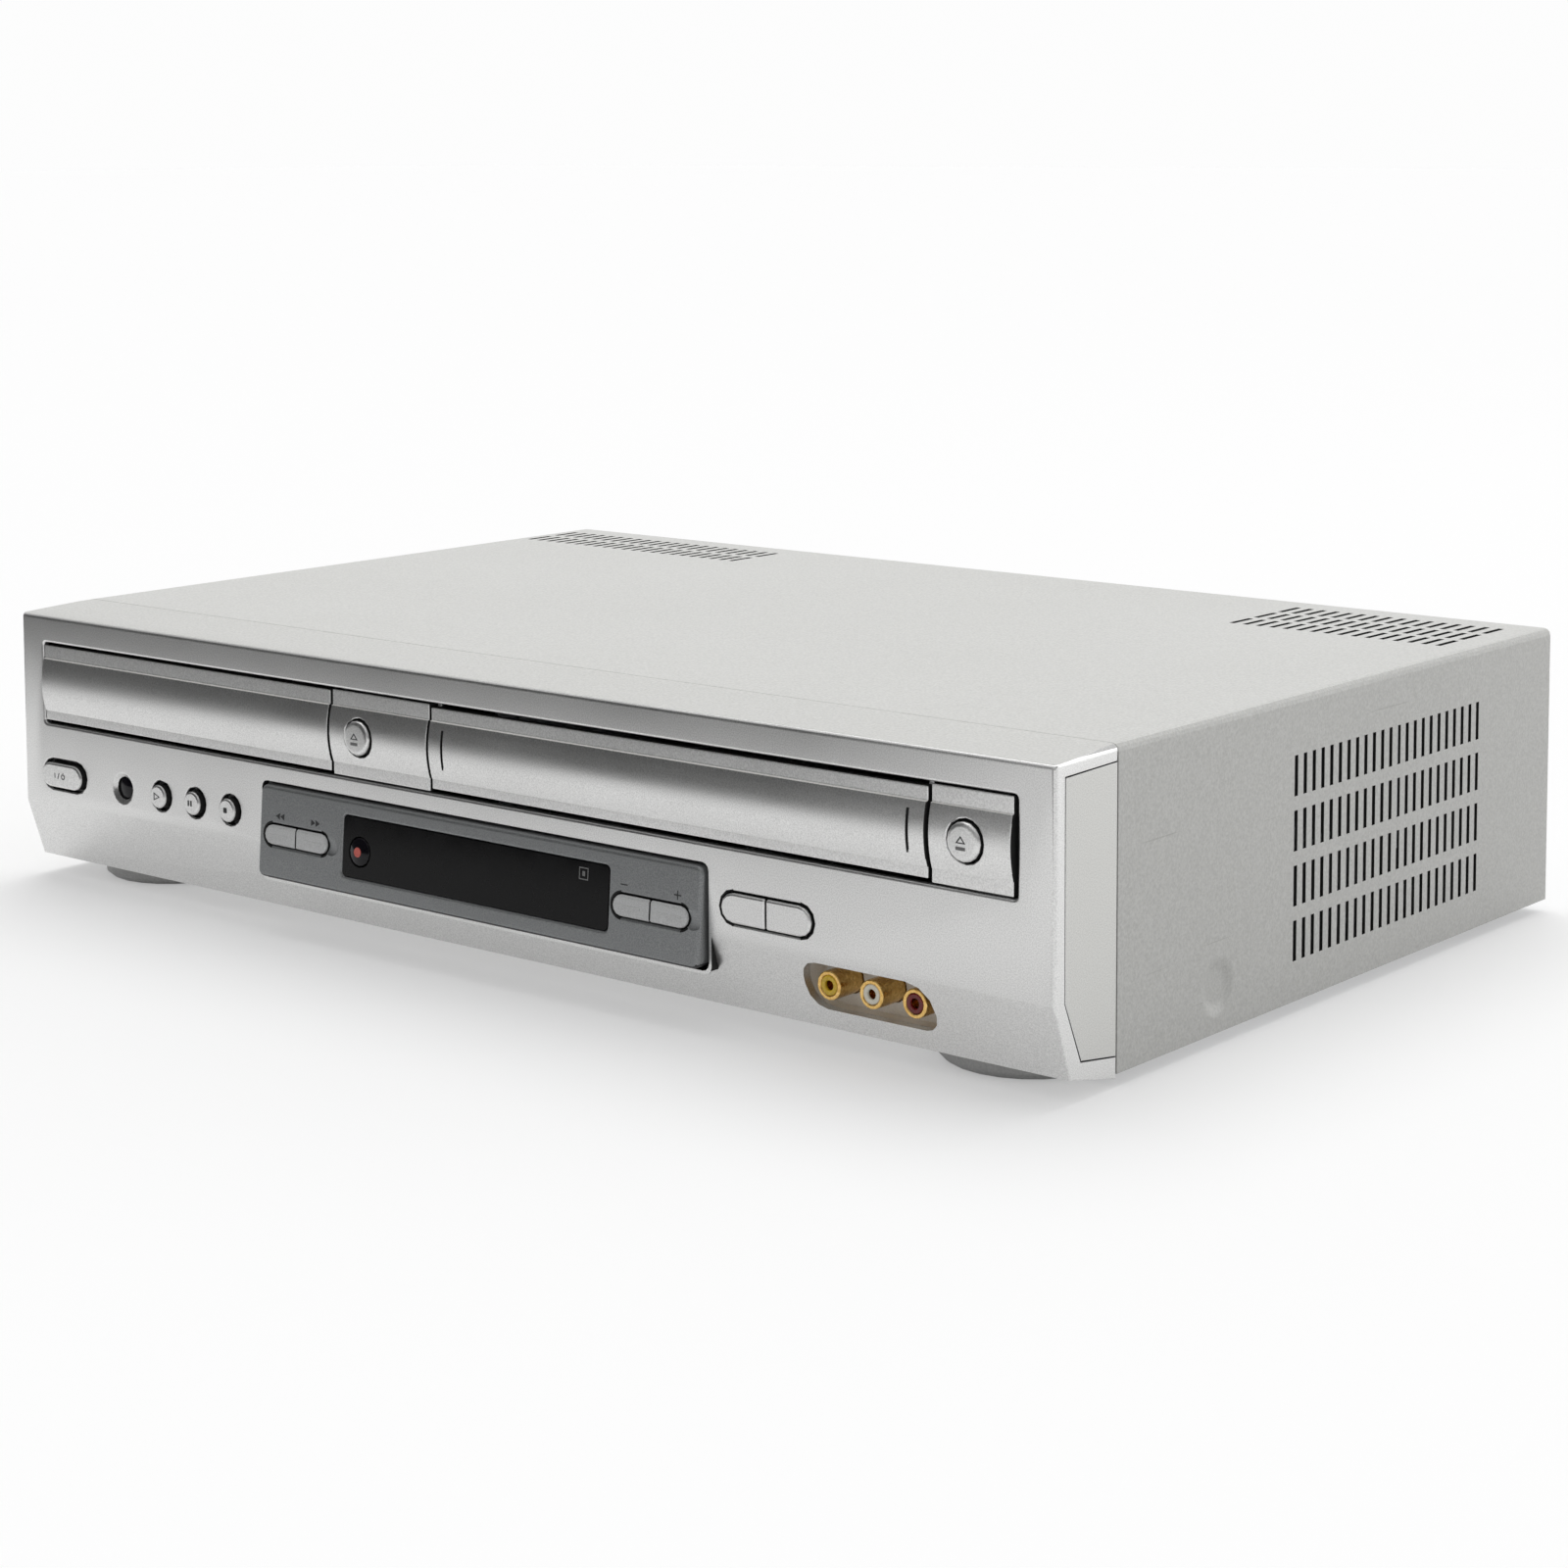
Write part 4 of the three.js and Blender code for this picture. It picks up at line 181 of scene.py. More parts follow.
world = bpy.data.worlds.new("studio")
bpy.context.scene.world = world
world.use_nodes = True
tree = world.node_tree
background = tree.nodes["Background"]
way = add_node(tree, "ShaderNodeSeparateXYZ")
fill(tree, way.inputs[0], add_node(tree, "ShaderNodeTexCoord").outputs["Generated"])
walls = between(tree, way.outputs["Y"], near_wall, far_wall, 0.05, 0.5, "SMOOTHSTEP")
dome = between(tree, way.outputs["Z"], walls, ceiling, 0.3, 0.9, "SMOOTHSTEP")
background.inputs["Color"].default_value = (1, 1, 1, 1)
fill(tree, background.inputs["Strength"], dome)
print("world", near_wall, "to", far_wall)

# %% [markdown]
# A sun with a very wide disc stands in for a large panel overhead: it gives the soft
# shadow and the bright top. A weak box, low behind on the right, lights the right side.

# %% Lamps
def lamp(name, kind, direction, place=(0, 0, 0), **settings):
    data = bpy.data.lights.new(name, kind)
    for setting, value in settings.items():
        setattr(data, setting, value)
    made = bpy.data.objects.new(name, data)
    made.location = place
    made.rotation_euler = Vector(direction).to_track_quat("-Z", "Y").to_euler()
    bpy.context.scene.collection.objects.link(made)
    print(name, kind, round(data.energy, 2))


lamp("low_box", "AREA", (-1.5, -2.0, -0.45), (1.7, 1.9, 0.5),
     shape="RECTANGLE", size=1.2, size_y=0.8, energy=4.5)
lamp("sky_panel", "SUN", (0.25, -0.35, -1), energy=1.3, angle=math.radians(50))
bpy.context.scene.view_settings.view_transform = "Standard"

# %% [markdown]
# A photographer gives a shiny front some shape with a dark card just outside the
# picture. This one stands upright in front on the left. Only reflections see it, so it
# throws no shadow: the front mirrors the white floor low down and the card higher up.

# %% Dark card
quarter = math.radians(90)
card_turn = math.radians(-7)
bpy.ops.mesh.primitive_plane_add(size=1, location=(-0.75, -0.33, 0.3), rotation=(quarter, 0, card_turn))
card = bpy.context.object
card.name = "dark_card"
card.scale = (1.5, 0.6, 1)
felt, tree, shader = new_material("black_felt")
shader.inputs["Base Color"].default_value = (0.03, 0.03, 0.03, 1)
shader.inputs["Roughness"].default_value = 0.95
card.data.materials.append(felt)
card.visible_camera = False
card.visible_diffuse = False
card.visible_shadow = False
card.visible_transmission = False
print("card", card.dimensions[:])

# %% [markdown]
# ## Finishes
#
# A finish is a Principled shader with two or three patterns in it. All of them read
# Object coordinates in metres, so a pattern has its real size on every piece. Colours are
# written as they look on screen, from 0 to 255, and turned into light values.

# %% Start a finish
finishes = {}


def shade(red, green, blue):
    values = [c / 255 for c in (red, green, blue)]
    return [c / 12.92 if c <= 0.04045 else ((c + 0.055) / 1.055) ** 2.4 for c in values]


def start_finish(name, colour, roughness, metallic=0.0):
    made, tree, shader = new_material(name)
    shader.inputs["Base Color"].default_value = (*colour, 1)
    shader.inputs["Roughness"].default_value = roughness
    shader.inputs["Metallic"].default_value = metallic
    where = add_node(tree, "ShaderNodeTexCoord").outputs["Object"]
    finishes[name] = made
    return tree, shader, where


# %% [markdown]
# Nearly every pattern is a noise. A ramp turns it into two tones of a colour, a range
# turns it into a change of gloss, and a bump node into relief. Stretching the space that
# the noise is read in draws its grains out into threads.

# %% Patterns
def speckle(tree, where, scale, detail=3.0, stretch=(1, 1, 1), turn=0.0):
    mapping = add_node(tree, "ShaderNodeMapping")
    mapping.inputs["Scale"].default_value = stretch
    mapping.inputs["Rotation"].default_value = (turn, turn, turn)
    fill(tree, mapping.inputs["Vector"], where)
    noise = add_node(tree, "ShaderNodeTexNoise")
    fill(tree, noise.inputs["Scale"], scale)
    fill(tree, noise.inputs["Detail"], detail)
    fill(tree, noise.inputs["Vector"], mapping.outputs["Vector"])
    return noise.outputs["Fac"]


def two_tones(tree, value, dark, light, low=0.35, high=0.65):
    made = add_node(tree, "ShaderNodeValToRGB")
    for element, at, colour in zip(made.color_ramp.elements, (low, high), (dark, light)):
        element.position = at
        element.color = (*colour, 1)
    fill(tree, made.inputs["Fac"], value)
    return made.outputs["Color"]


def relief(tree, shader, value, depth, strength=1.0):
    bump = add_node(tree, "ShaderNodeBump")
    fill(tree, bump.inputs["Strength"], strength)
    fill(tree, bump.inputs["Distance"], depth)
    fill(tree, bump.inputs["Height"], value)
    fill(tree, shader.inputs["Normal"], bump.outputs["Normal"])


# %% [markdown]
# The front moulding is sprayed with a silver paint. Its aluminium flakes make tiny
# light and dark grains, which a fine noise in both colour and relief stands for, and a
# large faint noise makes the gloss drift a little, as sprayed paint does. Less metal in
# the shader gives the greyer and whiter paints of the panel, the keys and the cheeks.

# %% Silver paint
def sprayed(name, dark, light, roughness, metallic):
    tree, shader, where = start_finish(name, light, roughness, metallic)
    flakes = speckle(tree, where, 2600, 2.0)
    fill(tree, shader.inputs["Base Color"], two_tones(tree, flakes, dark, light))
    drift = speckle(tree, where, 22, 4.0)
    gloss = between(tree, drift, roughness - 0.03, roughness + 0.03)
    fill(tree, shader.inputs["Roughness"], gloss)
    relief(tree, shader, flakes, 0.012 * MM)


sprayed("silver_plastic", shade(210, 210, 209), shade(234, 234, 233), roughness=0.32, metallic=0.9)
sprayed("cheek_paint", shade(204, 204, 201), shade(222, 222, 219), roughness=0.42, metallic=0.6)
sprayed("grey_plastic", shade(130, 132, 133), shade(154, 156, 157), roughness=0.38, metallic=0.5)
sprayed("key_paint", shade(198, 199, 199), shade(216, 217, 217), roughness=0.36, metallic=0.15)
# Two of these are painted light rather than paint: a dark grey that paints the shade on the panel's lower
# and left walls, and a near-white that paints light into the jack cup and a highlight along the step of
# the bulge.
sprayed("panel_painted_shade", shade(50, 51, 52), shade(64, 65, 66), roughness=0.5, metallic=0.2)
sprayed("painted_light", shade(236, 235, 232), shade(248, 247, 244), roughness=0.5, metallic=0.1)
print("painted finishes", len(finishes))

# %% [markdown]
# The cover is sheet steel under a slightly rough, warm grey paint. Years of handling
# leave short straight scratches, which are the rare peaks of a noise that is stretched
# more than fifty times along one direction, kept to a few patches by a second, slow noise.

# %% Cover paint
def scratches(tree, where, turn, rare):
    threads = speckle(tree, where, 1500, 0.0, (1.0, 0.018, 1.0), turn)
    sharp = between(tree, threads, 0.0, 1.0, rare, rare + 0.03)
    patch = between(tree, speckle(tree, where, 7, 2.0), 0.0, 1.0, 0.52, 0.6)
    return arithmetic(tree, "MULTIPLY", sharp, patch)


scratch_strength = 0.3
tree, shader, where = start_finish("cover_paint", shade(203, 203, 201), roughness=0.45, metallic=0.1)
shader.inputs["Specular IOR Level"].default_value = 0.35
pebble = speckle(tree, where, 1300)
paint_tone = two_tones(tree, pebble, shade(190, 190, 187), shade(209, 209, 206), 0.3, 0.7)
marks = arithmetic(tree, "MAXIMUM", scratches(tree, where, 0.5, 0.84), scratches(tree, where, -0.9, 0.85))
scuffed = add_node(tree, "ShaderNodeMix", data_type="RGBA")
fill(tree, scuffed.inputs["Factor"], arithmetic(tree, "MULTIPLY", marks, scratch_strength))
fill(tree, scuffed.inputs["A"], paint_tone)
scuffed.inputs["B"].default_value = (*shade(140, 139, 134), 1)
fill(tree, shader.inputs["Base Color"], scuffed.outputs["Result"])
fill(tree, shader.inputs["Roughness"], between(tree, speckle(tree, where, 9), 0.4, 0.5))
relief(tree, shader, pebble, 0.02 * MM, 0.6)
print("cover paint, scratches at", scratch_strength)

# %% [markdown]
# The window in the display panel is clear dark plastic with a polished face, and the
# lens and the record key are gloss black.

# %% Window and gloss black
def polished(name, dark, light, low, high, shine):
    tree, shader, where = start_finish(name, light, high)
    haze = speckle(tree, where, 120, 4.0)
    fill(tree, shader.inputs["Base Color"], two_tones(tree, haze, dark, light))
    fill(tree, shader.inputs["Roughness"], between(tree, haze, low, high))
    shader.inputs["Specular IOR Level"].default_value = shine


polished("dark_window", shade(12, 12, 13), shade(19, 19, 20), low=0.1, high=0.17, shine=0.13)
polished("gloss_black", shade(13, 12, 17), shade(21, 19, 25), low=0.08, high=0.16, shine=0.22)
print("gloss finishes added,", len(finishes), "in all")

# %% [markdown]
# Plated parts differ mostly in tint. A brushed or turned surface has long thin marks,
# which a noise stretched along one axis gives.

# %% Metals
def plated(name, dark, light, roughness, scale=900, stretch=(1, 1, 1)):
    tree, shader, where = start_finish(name, light, roughness, 1.0)
    marks = speckle(tree, where, scale, stretch=stretch)
    fill(tree, shader.inputs["Base Color"], two_tones(tree, marks, dark, light))
    gloss = between(tree, marks, roughness * 0.8, roughness * 1.25)
    fill(tree, shader.inputs["Roughness"], gloss)
    relief(tree, shader, marks, 0.006 * MM)


plated("bright_metal", shade(205, 206, 208), shade(226, 226, 228), 0.2)
plated("gold_metal", shade(206, 164, 92), shade(238, 200, 128), 0.24)
plated("steel_plate", shade(172, 174, 176), shade(190, 192, 193), 0.38, 520, (1, 0.12, 1))
plated("aluminium_drum", shade(196, 197, 200), shade(226, 227, 230), 0.16, 700, (0.1, 0.1, 1))
print("metals added,", len(finishes), "in all")

# %% [markdown]
# The plain plastics, the rubber and the printing inks share one recipe: a fine grain,
# with a slow change of gloss over the piece. The painted shadow is a near-black finish of
# the same recipe, laid on the walls inside gaps and openings as painted shade.

# %% Plastics, rubber and ink
def moulded(name, dark, light, roughness):
    tree, shader, where = start_finish(name, light, roughness)
    grain = speckle(tree, where, 1400)
    fill(tree, shader.inputs["Base Color"], two_tones(tree, grain, dark, light))
    slow = speckle(tree, where, 30, 2.0)
    gloss = between(tree, slow, roughness * 0.88, roughness * 1.12)
    fill(tree, shader.inputs["Roughness"], gloss)
    relief(tree, shader, grain, 0.03 * MM, 0.6)


moulded("black_plastic", shade(26, 26, 27), shade(37, 37, 38), 0.55)
moulded("black_rubber", shade(24, 24, 24), shade(36, 36, 36), 0.85)
moulded("foot_plastic", shade(190, 190, 189), shade(204, 204, 203), 0.45)
moulded("white_plastic", shade(214, 213, 206), shade(228, 227, 221), 0.48)
moulded("yellow_plastic", shade(216, 176, 34), shade(240, 202, 58), 0.2)
moulded("cream_plastic", shade(240, 234, 216), shade(250, 246, 232), 0.25)
moulded("red_plastic", shade(104, 8, 10), shade(128, 13, 15), 0.14)
moulded("green_plastic", shade(28, 108, 58), shade(38, 128, 70), 0.4)
moulded("blue_plastic", shade(30, 62, 140), shade(40, 78, 162), 0.4)
moulded("painted_shadow", shade(22, 22, 22), shade(30, 30, 30), 0.8)
moulded("black_print", shade(44, 44, 46), shade(58, 58, 60), 0.6)
moulded("grey_print", shade(112, 112, 112), shade(126, 126, 126), 0.6)
moulded("record_red", shade(206, 92, 82), shade(222, 108, 96), 0.35)
print("plastics, rubber and ink added,", len(finishes), "in all")

# %% [markdown]
# A lacquered board is green with copper tracks under the lacquer. A brick pattern of
# long thin bricks makes runs of tracks, and a noise varies the gloss of the lacquer.

# %% Circuit board
tree, shader, where = start_finish("circuit_board", shade(42, 88, 60), 0.4)
tracks = add_node(tree, "ShaderNodeTexBrick")
fill(tree, tracks.inputs["Scale"], 90)
fill(tree, tracks.inputs["Mortar Size"], 0.03)
tracks.inputs["Color1"].default_value = (*shade(40, 84, 56), 1)
tracks.inputs["Color2"].default_value = (*shade(52, 104, 70), 1)
tracks.inputs["Mortar"].default_value = (*shade(84, 128, 84), 1)
fill(tree, tracks.inputs["Vector"], where)
fill(tree, shader.inputs["Base Color"], tracks.outputs["Color"])
fill(tree, shader.inputs["Roughness"], between(tree, speckle(tree, where, 200), 0.34, 0.46))
relief(tree, shader, tracks.outputs["Fac"], 0.03 * MM)
print("finishes", len(finishes))

# %% [markdown]
# Every solid takes the finish of the material slot that its record names, so no piece is
# left with a plain colour.

# %% Finish the solids
slot_of = {row["node"]: row["material_slot"] for row in frame["record"]["subparts"]}
for name, solid in nodes.items():
    solid.data.materials.clear()
    solid.data.materials.append(finishes[slot_of[name]])
print("finished", len(slot_of), "solids")

# %% [markdown]
# ## Rounded edges
#
# Real mouldings and folded sheets have no knife edges, and the thin line of light along
# a rounded edge does more for a picture than anything else. Modifiers round and smooth a
# piece as by hand, and are applied at once, so that the mesh itself has the shape.

# %% Helpers for modifiers
def alone(piece):
    bpy.ops.object.select_all(action="DESELECT")
    bpy.context.view_layer.objects.active = piece
    piece.select_set(True)
    return piece


def apply_modifier(piece, kind, name, **settings):
    modifier = alone(piece).modifiers.new(name, kind)
    for setting, value in settings.items():
        setattr(modifier, setting, value)
    bpy.ops.object.modifier_apply(modifier=name)


def smooth(piece, degrees=33):
    alone(piece)
    bpy.ops.object.shade_smooth_by_angle(angle=math.radians(degrees))
    apply_modifier(piece, "WEIGHTED_NORMAL", "flat_faces", keep_sharp=True)


# %% [markdown]
# Each sharp edge is told how far it may be rounded. A face that is narrow beside the edge
# leaves little room, so a fine groove keeps its shape beside a broad corner.

# %% Weigh the edges
def room(mesh, edge, face):
    """How far a face reaches from one of its edges."""
    start = mesh.vertices[edge.vertices[0]].co
    along = (mesh.vertices[edge.vertices[1]].co - start).normalized()
    reach = 0.0
    for corner in face.vertices:
        out = mesh.vertices[corner].co - start
        reach = max(reach, (out - along * out.dot(along)).length)
    return reach


def weigh_edges(piece, width, degrees, wanted):
    mesh = piece.data
    beside = {}
    for face in mesh.polygons:
        for key in face.edge_keys:
            beside.setdefault(key, []).append(face)
    weights = []
    for edge in mesh.edges:
        faces = beside.get(edge.key, [])
        weight = 0.0
        if len(faces) == 2 and faces[0].normal.angle(faces[1].normal, 0) > math.radians(degrees):
            middle = (mesh.vertices[edge.vertices[0]].co + mesh.vertices[edge.vertices[1]].co) / 2
            share = wanted(middle)
            if share:
                weight = share * min(1.0, 0.4 * min(room(mesh, edge, face) for face in faces) / width)
        weights.append(weight)
    marks = mesh.attributes.new("bevel_weight_edge", "FLOAT", "EDGE")
    marks.data.foreach_set("value", weights)


# %% [markdown]
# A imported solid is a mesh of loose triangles. A copy of it is merged, its flat faces are
# cleaned up, and a bevel then follows the weights. The copy rides on the same body as the
# solid that it replaces.

# %% Soften a solid
def soften(name, width, segments, degrees=28, wanted=lambda middle: 1, flat_below=33):
    solid = nodes[name]
    piece = bpy.data.objects.new(name + "_dressed", solid.data.copy())
    bpy.context.scene.collection.objects.link(piece)
    alone(piece)
    bpy.ops.object.mode_set(mode="EDIT")
    bpy.ops.mesh.select_all(action="SELECT")
    bpy.ops.mesh.remove_doubles(threshold=0.002 * MM)
    bpy.ops.mesh.dissolve_limited(angle_limit=math.radians(0.5))
    bpy.ops.object.mode_set(mode="OBJECT")
    if width:
        weigh_edges(piece, width, degrees, wanted)
        apply_modifier(piece, "BEVEL", "rounded_edges", width=width, segments=segments,
                       limit_method="WEIGHT", use_clamp_overlap=False, miter_outer="MITER_ARC")
    smooth(piece, flat_below)
    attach(piece, solid["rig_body"])
    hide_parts(name)
    return piece


# %% [markdown]
# Widths are in millimetres. The front moulding has the broadest corners and the doors
# have crisp ones. A bevel breaks a large flat face that has many holes in it, so plates
# of that kind get none.

# %% Widths of the edges
edge_widths = {
    "front_bezel": 1.2, "tray_door": 0.3, "cassette_door": 0.3, "disc_eject_trim": 0.6,
    "tape_eject_trim": 0.6, "display_panel": 0.8, "display_window": 0.2, "top_cover": 0.9,
    "power_button": 0.9, "play_button": 0.9, "pause_button": 0.9, "stop_button": 0.9,
    "select_disc_button": 0.6, "select_tape_button": 0.6, "rewind_button": 0.4,
    "forward_button": 0.4, "channel_down_button": 0.4, "channel_up_button": 0.4,
    "record_button": 0.3, "disc_eject_button": 0.9, "tape_eject_button": 0.9,
    "indicator_lens": 0.2, "jack_cup": 0, "video_jack": 0.35, "left_audio_jack": 0.35,
    "right_audio_jack": 0.35, "rear_panel": 0, "rear_av_block": 0.25,
    "rear_component_block": 0.25, "aerial_block": 0, "cord_gland": 0.4,
    "left_cover_screw": 0.3, "right_cover_screw": 0.3, "base_pan": 0,
    "front_left_foot": 0.6, "front_right_foot": 0.6, "rear_left_foot": 0.6,
    "rear_right_foot": 0.6, "disc_tray": 0, "cassette_basket": 0,
}
print("pieces to dress", len(edge_widths))

# %% [markdown]
# The front is described once, from the boxes of its pieces: the plane of the moulding,
# the long band with the two doors, and the stretch round the display panel.

# %% Places on the front
front_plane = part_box("front_bezel")[0].y
half_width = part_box("top_cover")[1].x
panel_low, panel_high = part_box("display_panel")
panel_gap = 0.6 * MM
band_half = 205 * MM
band_bottom = 53 * MM
band_top = 83 * MM


def in_band(at):
    return abs(at.x) < band_half and band_bottom < at.z < band_top


def beside_panel(at):
    across = panel_low.x - panel_gap / 2 < at.x < panel_high.x - panel_gap
    return across and at.z < panel_high.z + panel_gap


print("front plane", round(front_plane / MM, 2), "half width", round(half_width / MM, 2))

# %% [markdown]
# Some pieces need more than one width. On the front moulding the ends of the band are
# rounded most and the corners towards the cheeks half as much, while the edges beside the
# panel and on the slanted lower front stay sharp. On the cover only the pressed dimple
# low on each side is rounded, and on a trim the rim round its key more than the rest.

# %% Edges with their own widths
bevel_top = 28.5 * MM
dimple_y = -63.1 * MM
dimple_reach = 10 * MM
dimple_top = 26 * MM


def on_bezel_face(middle):
    if abs(middle.x) > half_width - 0.1 * MM:
        return 0.5
    if middle.y >= front_plane + 1 * MM or middle.z < bevel_top:
        return 0.0
    if in_band(middle):
        return 1.0
    return 0.0 if beside_panel(middle) else 0.6


def round_the_dimple(middle):
    outside = abs(middle.x) > half_width - 2.1 * MM
    near = abs(middle.y - dimple_y) < dimple_reach and middle.z < dimple_top
    return 1.0 if outside and near else 0.0


def round_the_key(key):
    low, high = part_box(key)
    middle = (low + high) / 2
    reach = (high.x - low.x) / 2 + 0.8 * MM
    return lambda at: 1.0 if math.hypot(at.x - middle.x, at.z - middle.z) < reach else 0.5


# %% [markdown]
# Keys get a finer curve than the rest, because light runs round their whole rim. Each
# line of the printout shows how far a dressed piece stays inside its solid.

# %% Round the outer pieces
special_edges = {
    "front_bezel": {"wanted": on_bezel_face},
    "top_cover": {"wanted": round_the_dimple, "degrees": 12, "flat_below": 16},
    "disc_eject_trim": {"wanted": round_the_key("disc_eject_button")},
    "tape_eject_trim": {"wanted": round_the_key("tape_eject_button")},
}
dressed = {}
for name, width in edge_widths.items():
    segments = 4 if name.endswith("_button") else 3
    dressed[name] = soften(name, width * MM, segments, **special_edges.get(name, {}))
    mesh = dressed[name].data
    box_low, box_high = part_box(name)
    low = [min(v.co[i] for v in mesh.vertices) - box_low[i] for i in range(3)]
    high = [box_high[i] - max(v.co[i] for v in mesh.vertices) for i in range(3)]
    print(name, len(mesh.polygons), "faces, inside its solid by", round(min(low + high) / MM, 3), "mm")

# %% [markdown]
# ## Second finishes
#
# Faces are picked by where they lie and where they look, and take a second finish: a
# field of another paint, a painted shadow where a part turns into a gap, or painted light.
# A test gets the middle of a face, the way it looks and its corners.

# %% Helper for second finishes
def refinish(name, finish, test):
    piece = dressed[name]
    mesh = piece.data
    mesh.materials.append(finishes[finish])
    index = len(mesh.materials) - 1
    picked = 0
    for face in mesh.polygons:
        corners = [mesh.vertices[i].co for i in face.vertices]
        if test(face.center, face.normal, corners):
            face.material_index = index
            picked += 1
    print(name, finish, picked, "faces")


# %% [markdown]
# On each cheek a thin scored line frames a field of flatter paint, and the narrow top of
# the front moulding matches the cover behind it.

# %% Cheeks and top of the front moulding
cheek_front = front_plane + 4.4 * MM
cheek_bottom = 7.9 * MM
cheek_top = 88.3 * MM
cover_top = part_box("top_cover")[1].z


def inside_cheek_line(at, out, corners):
    if abs(out.x) < 0.9 or abs(at.x) < half_width - 0.05 * MM:
        return False
    return all(c.y > cheek_front and cheek_bottom < c.z < cheek_top for c in corners)


def on_bezel_top(at, out, corners):
    return out.z > 0.9 and at.z > cover_top - 2.8 * MM


refinish("front_bezel", "cheek_paint", inside_cheek_line)
refinish("front_bezel", "cover_paint", on_bezel_top)

# %% [markdown]
# The floor and walls of the scored line get a painted shadow, and so does the inside of
# every opening in the front. The rounded lip of the band stays silver to a greater depth
# than the lips of the key holes, and the mouth of the jack recess stays silver all through.

# %% Scored lines and openings
groove_depth = 0.5 * MM
recess_left = 128 * MM
recess_right = 175 * MM
recess_top = 27.5 * MM


def in_cheek_groove(at, out, corners):
    depth = half_width - abs(at.x)
    on_floor = abs(out.x) > 0.95 and abs(depth - groove_depth) < 0.06 * MM
    on_wall = abs(out.x) < 0.15 and 0.02 * MM < depth < groove_depth
    along = cheek_bottom - 0.9 * MM < at.z < cheek_top + 0.7 * MM
    return (on_floor or on_wall) and at.y > cheek_front - 1 * MM and along


def in_an_opening(at, out, corners):
    if abs(at.x) > half_width - 2 * MM or not 7 * MM < at.z < 90 * MM or abs(out.y) > 0.9:
        return False
    depth = at.y - front_plane
    if in_band(at):
        return depth > 3.2 * MM
    if beside_panel(at):
        return depth > (4 if at.x > panel_high.x - 3.6 * MM else 0.6) * MM
    if recess_left < at.x < recess_right and at.z < recess_top:
        return False
    return depth > 0.75 * MM


refinish("front_bezel", "painted_shadow", in_cheek_groove)
refinish("front_bezel", "painted_shadow", in_an_opening)

# %% [markdown]
# On the doors and the trims beside them, the walls of the gaps get a painted shadow from a
# millimetre behind the front. A narrow step runs along the top of their bulge, and the
# palest paint on it is a painted highlight, a bright line where the light would catch it.

# %% Doors and trims
band_pieces = ("tray_door", "cassette_door", "disc_eject_trim", "tape_eject_trim")
step_bottom = 76.4 * MM
step_top = 77.2 * MM


def in_a_gap(depth, front):
    return lambda at, out, corners: abs(out.y) < 0.5 and at.y > front + depth


def on_bulge_step(at, out, corners):
    return out.z > 0.4 and step_bottom < at.z < step_top


for name in band_pieces:
    refinish(name, "painted_shadow", in_a_gap(1 * MM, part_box(name)[0].y))
for name in band_pieces:
    refinish(name, "painted_light", on_bulge_step)

# %% [markdown]
# Near each end the cassette door has a thin upright mark, cut into its bulge, and the
# narrow faces of the mark get a painted shadow.

# %% Marks on the cassette door
door_low, door_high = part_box("cassette_door")


def in_door_mark(at, out, corners):
    narrow = max(c.x for c in corners) - min(c.x for c in corners) < 1.2 * MM
    near_end = min(at.x - door_low.x, door_high.x - at.x) < 12 * MM
    return narrow and near_end and at.y < front_plane + 0.2 * MM and 60 * MM < at.z < 76 * MM


refinish("cassette_door", "painted_shadow", in_door_mark)

# %% [markdown]
# The rounded rim of a key hole gets a painted shadow as well, so that it reads as part of
# the dark gap round the key. The outline of every key is a circle or a pill, so one test
# of distance finds the rims of both.

# %% Rims of the key holes
def around(key, margin):
    low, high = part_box(key)
    middle = (low + high) / 2
    half_height = (high.z - low.z) / 2

    def test(at, out, corners):
        for corner in corners:
            beside = max(abs(corner.x - middle.x) - (high.x - low.x) / 2 + half_height, 0)
            if abs(math.hypot(beside, corner.z - middle.z) - half_height) > margin:
                return False
        return abs(out.y) < 0.985

    return test


panel_keys = ("rewind_button", "forward_button", "channel_down_button", "channel_up_button")
refinish("disc_eject_trim", "painted_shadow", around("disc_eject_button", 0.9 * MM))
refinish("tape_eject_trim", "painted_shadow", around("tape_eject_button", 0.9 * MM))
for name in ("select_disc_button", "select_tape_button"):
    refinish("front_bezel", "painted_shadow", around(name, 1.1 * MM))
for name in panel_keys:
    refinish("display_panel", "painted_shadow", around(name, 0.8 * MM))

# %% [markdown]
# The lower and left walls of the display panel get a painted shade, and so do the sides of
# the keys behind their caps. The keys on the panel are whiter than the silver ones. The
# cup of the jacks gets the near-white painted light, which stands for the light in the recess.

# %% Panel and keys
def panel_shade(at, out, corners):
    under = out.z < -0.35 and at.z < panel_low.z + 1.5 * MM
    left = out.x < -0.35 and at.x < panel_low.x + 1.5 * MM
    return under or left


refinish("display_panel", "panel_painted_shade", panel_shade)
for name in dressed:
    if name.endswith("_button") and slot_of[name] != "gloss_black":
        shade_depth = 0.9 if name.startswith("select") else 1.6
        refinish(name, "painted_shadow", in_a_gap(shade_depth * MM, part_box(name)[0].y))
for name in panel_keys:
    dressed[name].data.materials[0] = finishes["key_paint"]
dressed["jack_cup"].data.materials[0] = finishes["painted_light"]

# %% [markdown]
# The inner face of the cover and the walls of its air slots are dark, because little
# light falls in there. That keeps the slots as dark as they look on the real sheet.

# %% Inside of the cover
sheet = 0.8 * MM


